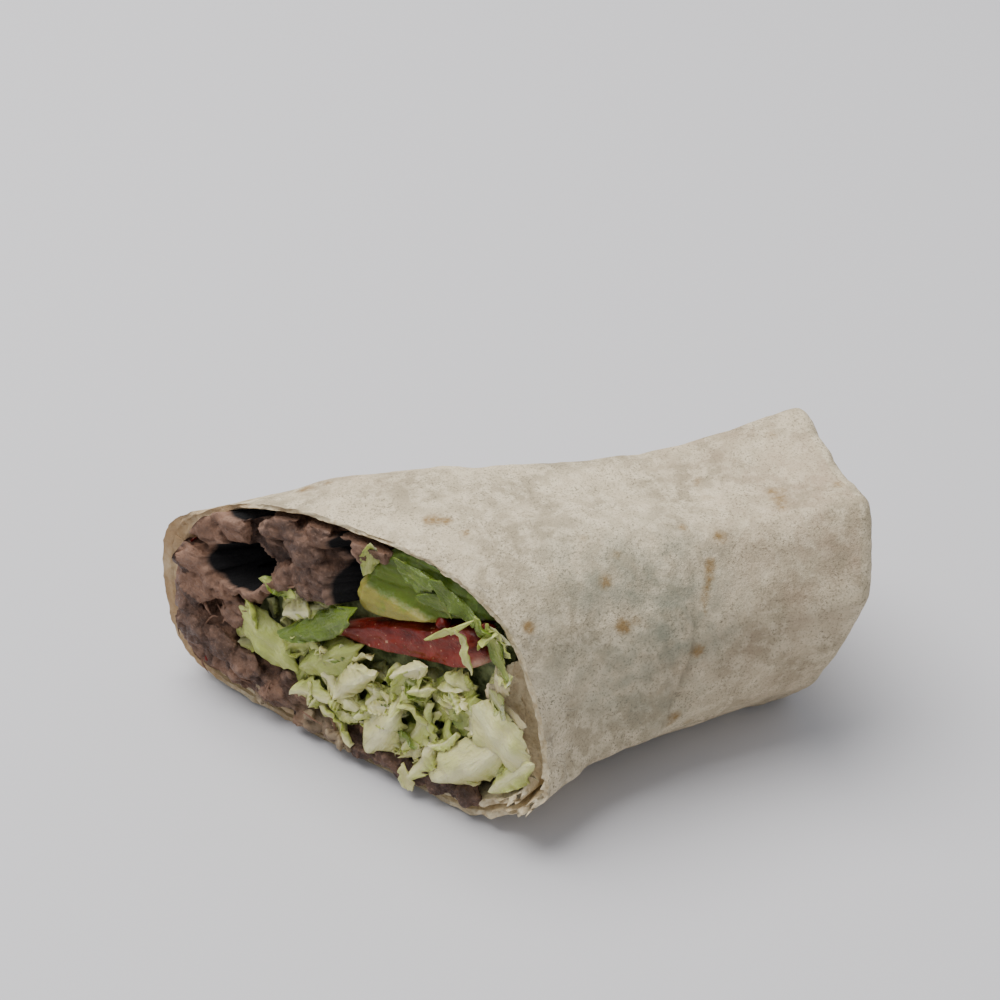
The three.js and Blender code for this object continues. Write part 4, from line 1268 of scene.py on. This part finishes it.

# %% Leaves placed one by one
LETTUCE_OUTLINE = [
    (-17.3, 20.5), (-17, 13.5), (-9, 11), (-5, 8), (4, 6.8), (12, 6.6), (20, 7), (25, 8.5),
    (31, 14), (33, 24), (30, 36), (21.5, 42), (15, 34), (2, 31), (-8.5, 29), (-13.5, 27),
]
HERO_LEAVES = [
    # the flap at the left, over the meat
    dict(place=(-11.6, 17.6), length=15, width=7.6, heading=-34, roll=-12, out=2.4, cup=-0.30,
         bow=-0.12, green=0.46, edge=0.12, rib=0.2, thick=0.6, ruffle=0.25, waves=1, seed=1),
    dict(place=(-14.0, 21.4), length=7, width=3.6, heading=-70, roll=35, out=1.8, cup=0.5,
         green=0.34, edge=0.2, rib=0.2, thick=0.5, ruffle=0.2, seed=2),
    # the tip in the meat, the grey-white crumple, the frill, and the bright leaf under it
    dict(place=(-10.6, 29.6), length=7.5, width=3.0, heading=-4, roll=-40, out=1.8, green=0.5,
         edge=0.5, rib=0, thick=0.4, ruffle=0.5, waves=2, seed=4),
    dict(place=(-7.6, 25.6), length=6.5, width=4.6, heading=25, roll=10, out=1.0, cup=-0.5,
         green=0.1, edge=0.0, rib=0.8, thick=0.8, ruffle=0.6, waves=2, seed=27),
    dict(place=(-3.0, 26.4), length=20.5, width=5.4, heading=38, roll=-30, out=2.0, cup=-0.25,
         green=0.86, edge=0.2, rib=0, thick=0.45, ruffle=0.45, waves=2.4, seed=3),
    dict(place=(-6.4, 20.6), length=10, width=4.6, heading=44, roll=30, out=1.0, green=0.34,
         edge=0.25, rib=0.3, thick=0.5, ruffle=0.5, seed=6),
    dict(place=(-1.6, 19.6), length=16.5, width=6.8, heading=40, roll=-18, out=2.0, cup=-0.4,
         bow=-0.12, green=0.50, edge=0.15, rib=0.12, thick=0.6, ruffle=0.4, waves=1.4, seed=5),
    # pale chunks down the middle
    dict(place=(-3.0, 10.6), length=8.5, width=5.4, heading=8, roll=15, out=1.8, cup=-0.4,
         green=0.14, rib=0.7, thick=1.0, seed=7),
    dict(place=(1.2, 14.0), length=9, width=5.0, heading=-30, roll=-20, out=1.6, cup=-0.4,
         green=0.12, edge=0.1, rib=0.8, thick=1.0, waves=2.2, seed=10),
    dict(place=(1.4, 6.8), length=9.5, width=3.2, heading=-34, roll=15, out=1.6, green=0.10,
         rib=0.6, thick=0.9, cup=0.2, seed=28),
    dict(place=(3.4, 18.2), length=11.6, width=5.2, heading=48, roll=18, out=2.4, cup=-0.35,
         green=0.10, edge=0.1, rib=0.9, thick=1.1, ruffle=0.7, waves=2.6, seed=8),
    dict(place=(6.2, 14.6), length=9, width=4.4, heading=64, roll=-28, out=1.6, cup=-0.4,
         green=0.2, rib=0.8, thick=1.0, seed=9),
    dict(place=(8.8, 9.8), length=13.6, width=7.8, heading=60, roll=8, out=3.2, cup=-0.45,
         bow=-0.25, green=0.10, edge=0.1, rib=0.7, thick=1.0, ruffle=0.3, seed=11),
    dict(place=(9.0, 15.2), length=9, width=4.6, heading=84, roll=40, out=0.8, green=0.55,
         edge=0.2, rib=0, thick=0.6, cup=-0.3, ruffle=0.3, seed=12),
    dict(place=(13.9, 14.6), length=13, width=5.5, heading=68, roll=-35, out=1.2, cup=-0.3,
         green=0.26, rib=0.5, thick=0.9, seed=13),
    dict(place=(11.0, 22.8), length=9, width=4.6, heading=56, roll=12, out=1.6, green=0.44,
         edge=0.1, rib=0.3, thick=0.8, cup=0.6, ruffle=0.2, seed=14),
    dict(place=(17.0, 22.2), length=13.5, width=8.2, heading=56, roll=-10, out=0.8, cup=-0.3,
         bow=-0.15, green=0.50, edge=0.10, rib=0.1, thick=0.6, ruffle=0.3, seed=15),
    dict(place=(11.4, 25.6), length=8.6, width=3.0, heading=38, roll=-25, out=2.2, green=0.04,
         edge=0, rib=0.8, thick=1.0, cup=-0.4, ruffle=0.3, seed=16),
    # the broad cream leaves at the lower right
    dict(place=(25.8, 20.6), length=14, width=11.5, heading=-34, roll=-8, out=2.8, cup=-0.38,
         bow=-0.2, green=0.13, edge=0.05, rib=0.5, thick=1.1, ruffle=0.3, waves=1, seed=17,
         spread=1.3),
    dict(place=(21.8, 11.4), length=18, width=9.6, heading=46, roll=10, out=3.2, cup=-0.40,
         bow=-0.16, green=0.09, edge=0.08, rib=0.6, thick=1.1, ruffle=0.4, waves=1.4, seed=18,
         spread=1.2),
    dict(place=(15.4, 8.6), length=9, width=5.4, heading=70, roll=-20, out=2.0, green=0.08,
         rib=0.8, thick=1.0, cup=-0.3, waves=2.4, seed=19),
    dict(place=(28.4, 14.0), length=12, width=4.6, heading=52, roll=-20, out=2.0, green=0.16,
         rib=0.5, thick=0.9, cup=-0.3, seed=20, spread=1.25),
    dict(place=(14.0, 3.8), length=6.5, width=2.4, heading=-72, roll=0, out=3.2, green=0.12,
         edge=0.05, rib=0.2, thick=0.5, ruffle=0.2, seed=21),
    # the beige leaf down the near wall, and green ones above the tomato and the avocado
    dict(place=(29.0, 23.2), length=26, width=7.8, heading=-55, roll=-12, out=0.9, cup=-0.12,
         bow=-0.06, green=0.2, edge=0.1, rib=0.0, thick=0.7, ruffle=0.35, waves=1.5, tan=0.85,
         seed=29, spread=1.3),
    dict(place=(23.6, 35.4), length=13, width=4.4, heading=-48, roll=-30, out=0.8, green=0.55,
         edge=0.25, rib=0, thick=0.5, cup=-0.3, ruffle=0.25, waves=1, seed=22),
    dict(place=(21.0, 38.6), length=8, width=3.4, heading=-40, roll=20, out=0.8, green=0.7,
         edge=0.2, rib=0, thick=0.5, ruffle=0.2, waves=1, seed=23),
    dict(place=(1.8, 43.0), length=7, width=3.4, heading=80, roll=25, out=0.4, green=0.28,
         rib=0.2, thick=0.5, ruffle=0.3, seed=24),
    dict(place=(9.0, 43.4), length=9, width=4.6, heading=-12, roll=-30, out=0.4, green=0.85,
         edge=0.2, rib=0, thick=0.45, cup=-0.3, ruffle=0.2, waves=1, seed=30),
    dict(place=(15.0, 42.0), length=10, width=4.8, heading=-30, roll=-20, out=0.6, green=0.95,
         edge=0.1, rib=0, thick=0.45, cup=-0.3, ruffle=0.2, waves=1, seed=31),
    dict(place=(12.6, 39.6), length=7, width=3.2, heading=-18, roll=10, out=0.6, green=0.8,
         edge=0.2, rib=0, thick=0.4, cup=-0.2, ruffle=0.15, waves=1, seed=32),
    dict(place=(15.6, 37.0), length=11, width=1.3, heading=40, roll=0, out=2.6, green=0.30,
         edge=0.1, rib=0, thick=0.5, bow=-0.15, ruffle=0.2, seed=25),
    dict(place=(18.6, 35.0), length=8.5, width=1.4, heading=-66, roll=0, out=2.6, green=0.24,
         edge=0.1, rib=0, thick=0.5, ruffle=0.2, seed=26),
]
print(len(HERO_LEAVES), "leaves placed by hand")

# %% Leaves scattered over the core
# The last ones are small shreds that fill in between the large leaves.
SCATTERED, FIRST_SHRED = 165, 120
KEEP_OFF = 2.5               # room left round the tomato and the avocado
leaf_random = random.Random(21)
draw = leaf_random.uniform
leaves = [leaf(**hero) for hero in HERO_LEAVES]
scattered = 0
while scattered < SCATTERED:
    fills_in = scattered >= FIRST_SHRED
    x = draw(-4, 23) if fills_in else draw(-17, 31)
    z = draw(8, 25) if fills_in else draw(6, 40)
    blocked = any(inside_outline(x + KEEP_OFF * dx, z + KEEP_OFF * dz, outline)
                  for outline in (TOMATO_OUTLINE, AVOCADO_OUTLINE)
                  for dx, dz in ((0, 0), (-1, 0), (1, 0), (0, 1), (0, -1)))
    if inside_outline(x, z, LETTUCE_OUTLINE) and not blocked:
        scattered += 1
        leaves.append(leaf(
            place=(x, z),
            length=draw(3, 7) if fills_in else draw(4, 9),
            width=draw(1.5, 3) if fills_in else draw(2.5, 5.5),
            heading=draw(0, 180), roll=draw(-65, 65), pitch=draw(-40, 40),
            out=draw(0.4, 2.4) if fills_in else draw(-2.4, 1.4 if x > 0 else 0.2),
            cup=draw(-0.7, 0.5), bow=draw(-0.35, 0.3), ruffle=draw(0.2, 0.7),
            waves=draw(0.8, 2.2), thick=draw(0.5, 1.1), rib=draw(0, 0.8),
            green=leaf_random.choice((0.05, 0.12, 0.2, 0.3, 0.45, 0.65)),
            edge=draw(0.1, 0.3), seed=100 + scattered,
        ))
print(len(leaves), "leaves in all")

# %% The finish of the leaves, and the pieces
crisp = Finish("iceberg lettuce")
# The places on a leaf are stored in millimetres, and 1 / MM allows for that.
veins = crisp.noise(1 / MM, 3, 0.6, crisp.stored_place(), (1.1, 0.22, 1))
patches = crisp.noise(3.2, 3)
greenness = crisp.attribute("green") + patches * 0.3 - 0.15
leaf_colour = crisp.blend(greenness.between(0.02, 0.42), (0.70, 0.64, 0.29, 1),
                          (0.46, 0.49, 0.12, 1))
leaf_colour = crisp.blend(greenness.between(0.42, 0.9), leaf_colour, (0.105, 0.155, 0.009, 1))
leaf_colour = crisp.blend(crisp.attribute("rib").between(0.1, 0.9) * 0.6, leaf_colour,
                          (0.76, 0.71, 0.42, 1))
vein_strength = 0.38 - greenness.between(0.3, 0.9) * 0.3
leaf_colour = crisp.blend(veins.between(0.5, 0.7) * vein_strength, leaf_colour,
                          (0.70, 0.69, 0.37, 1))
leaf_colour = crisp.blend(crisp.attribute("tan"), leaf_colour, (0.60, 0.48, 0.27, 1))
# Painted shade: leaves that lie further back behind the cut are darkened towards a deep green.
leaf_colour = crisp.blend(crisp.attribute("deep") * 0.75, leaf_colour, (0.11, 0.135, 0.030, 1))
crisp.bump(veins * 1.3 + crisp.noise(0.6, 3) * 0.5, 0.45)
crisp.set(Base_Color=leaf_colour, Roughness=0.32, Subsurface_Weight=0.35, Subsurface_Scale=0.0012,
          Subsurface_Radius=(0.8, 1.0, 0.45))

shade = Finish("shaded lettuce")
shade_colour = shade.blend(shade.noise(3, 3).between(0.35, 0.65), (0.06, 0.08, 0.02, 1),
                           (0.30, 0.34, 0.14, 1))
shade.bump(shade.noise(2, 3), 0.8)
shade.set(Base_Color=shade_colour, Roughness=0.6)
make_piece("lettuce_leaves", joined(leaves), [crisp], "lettuce", sharp=60)
CORE_SUNK = 3.6              # the core stays this far behind the leaves
make_piece("lettuce_core", core_of(LETTUCE_OUTLINE, CORE_SUNK, 0, 0.86, 8), [shade],
           "lettuce")
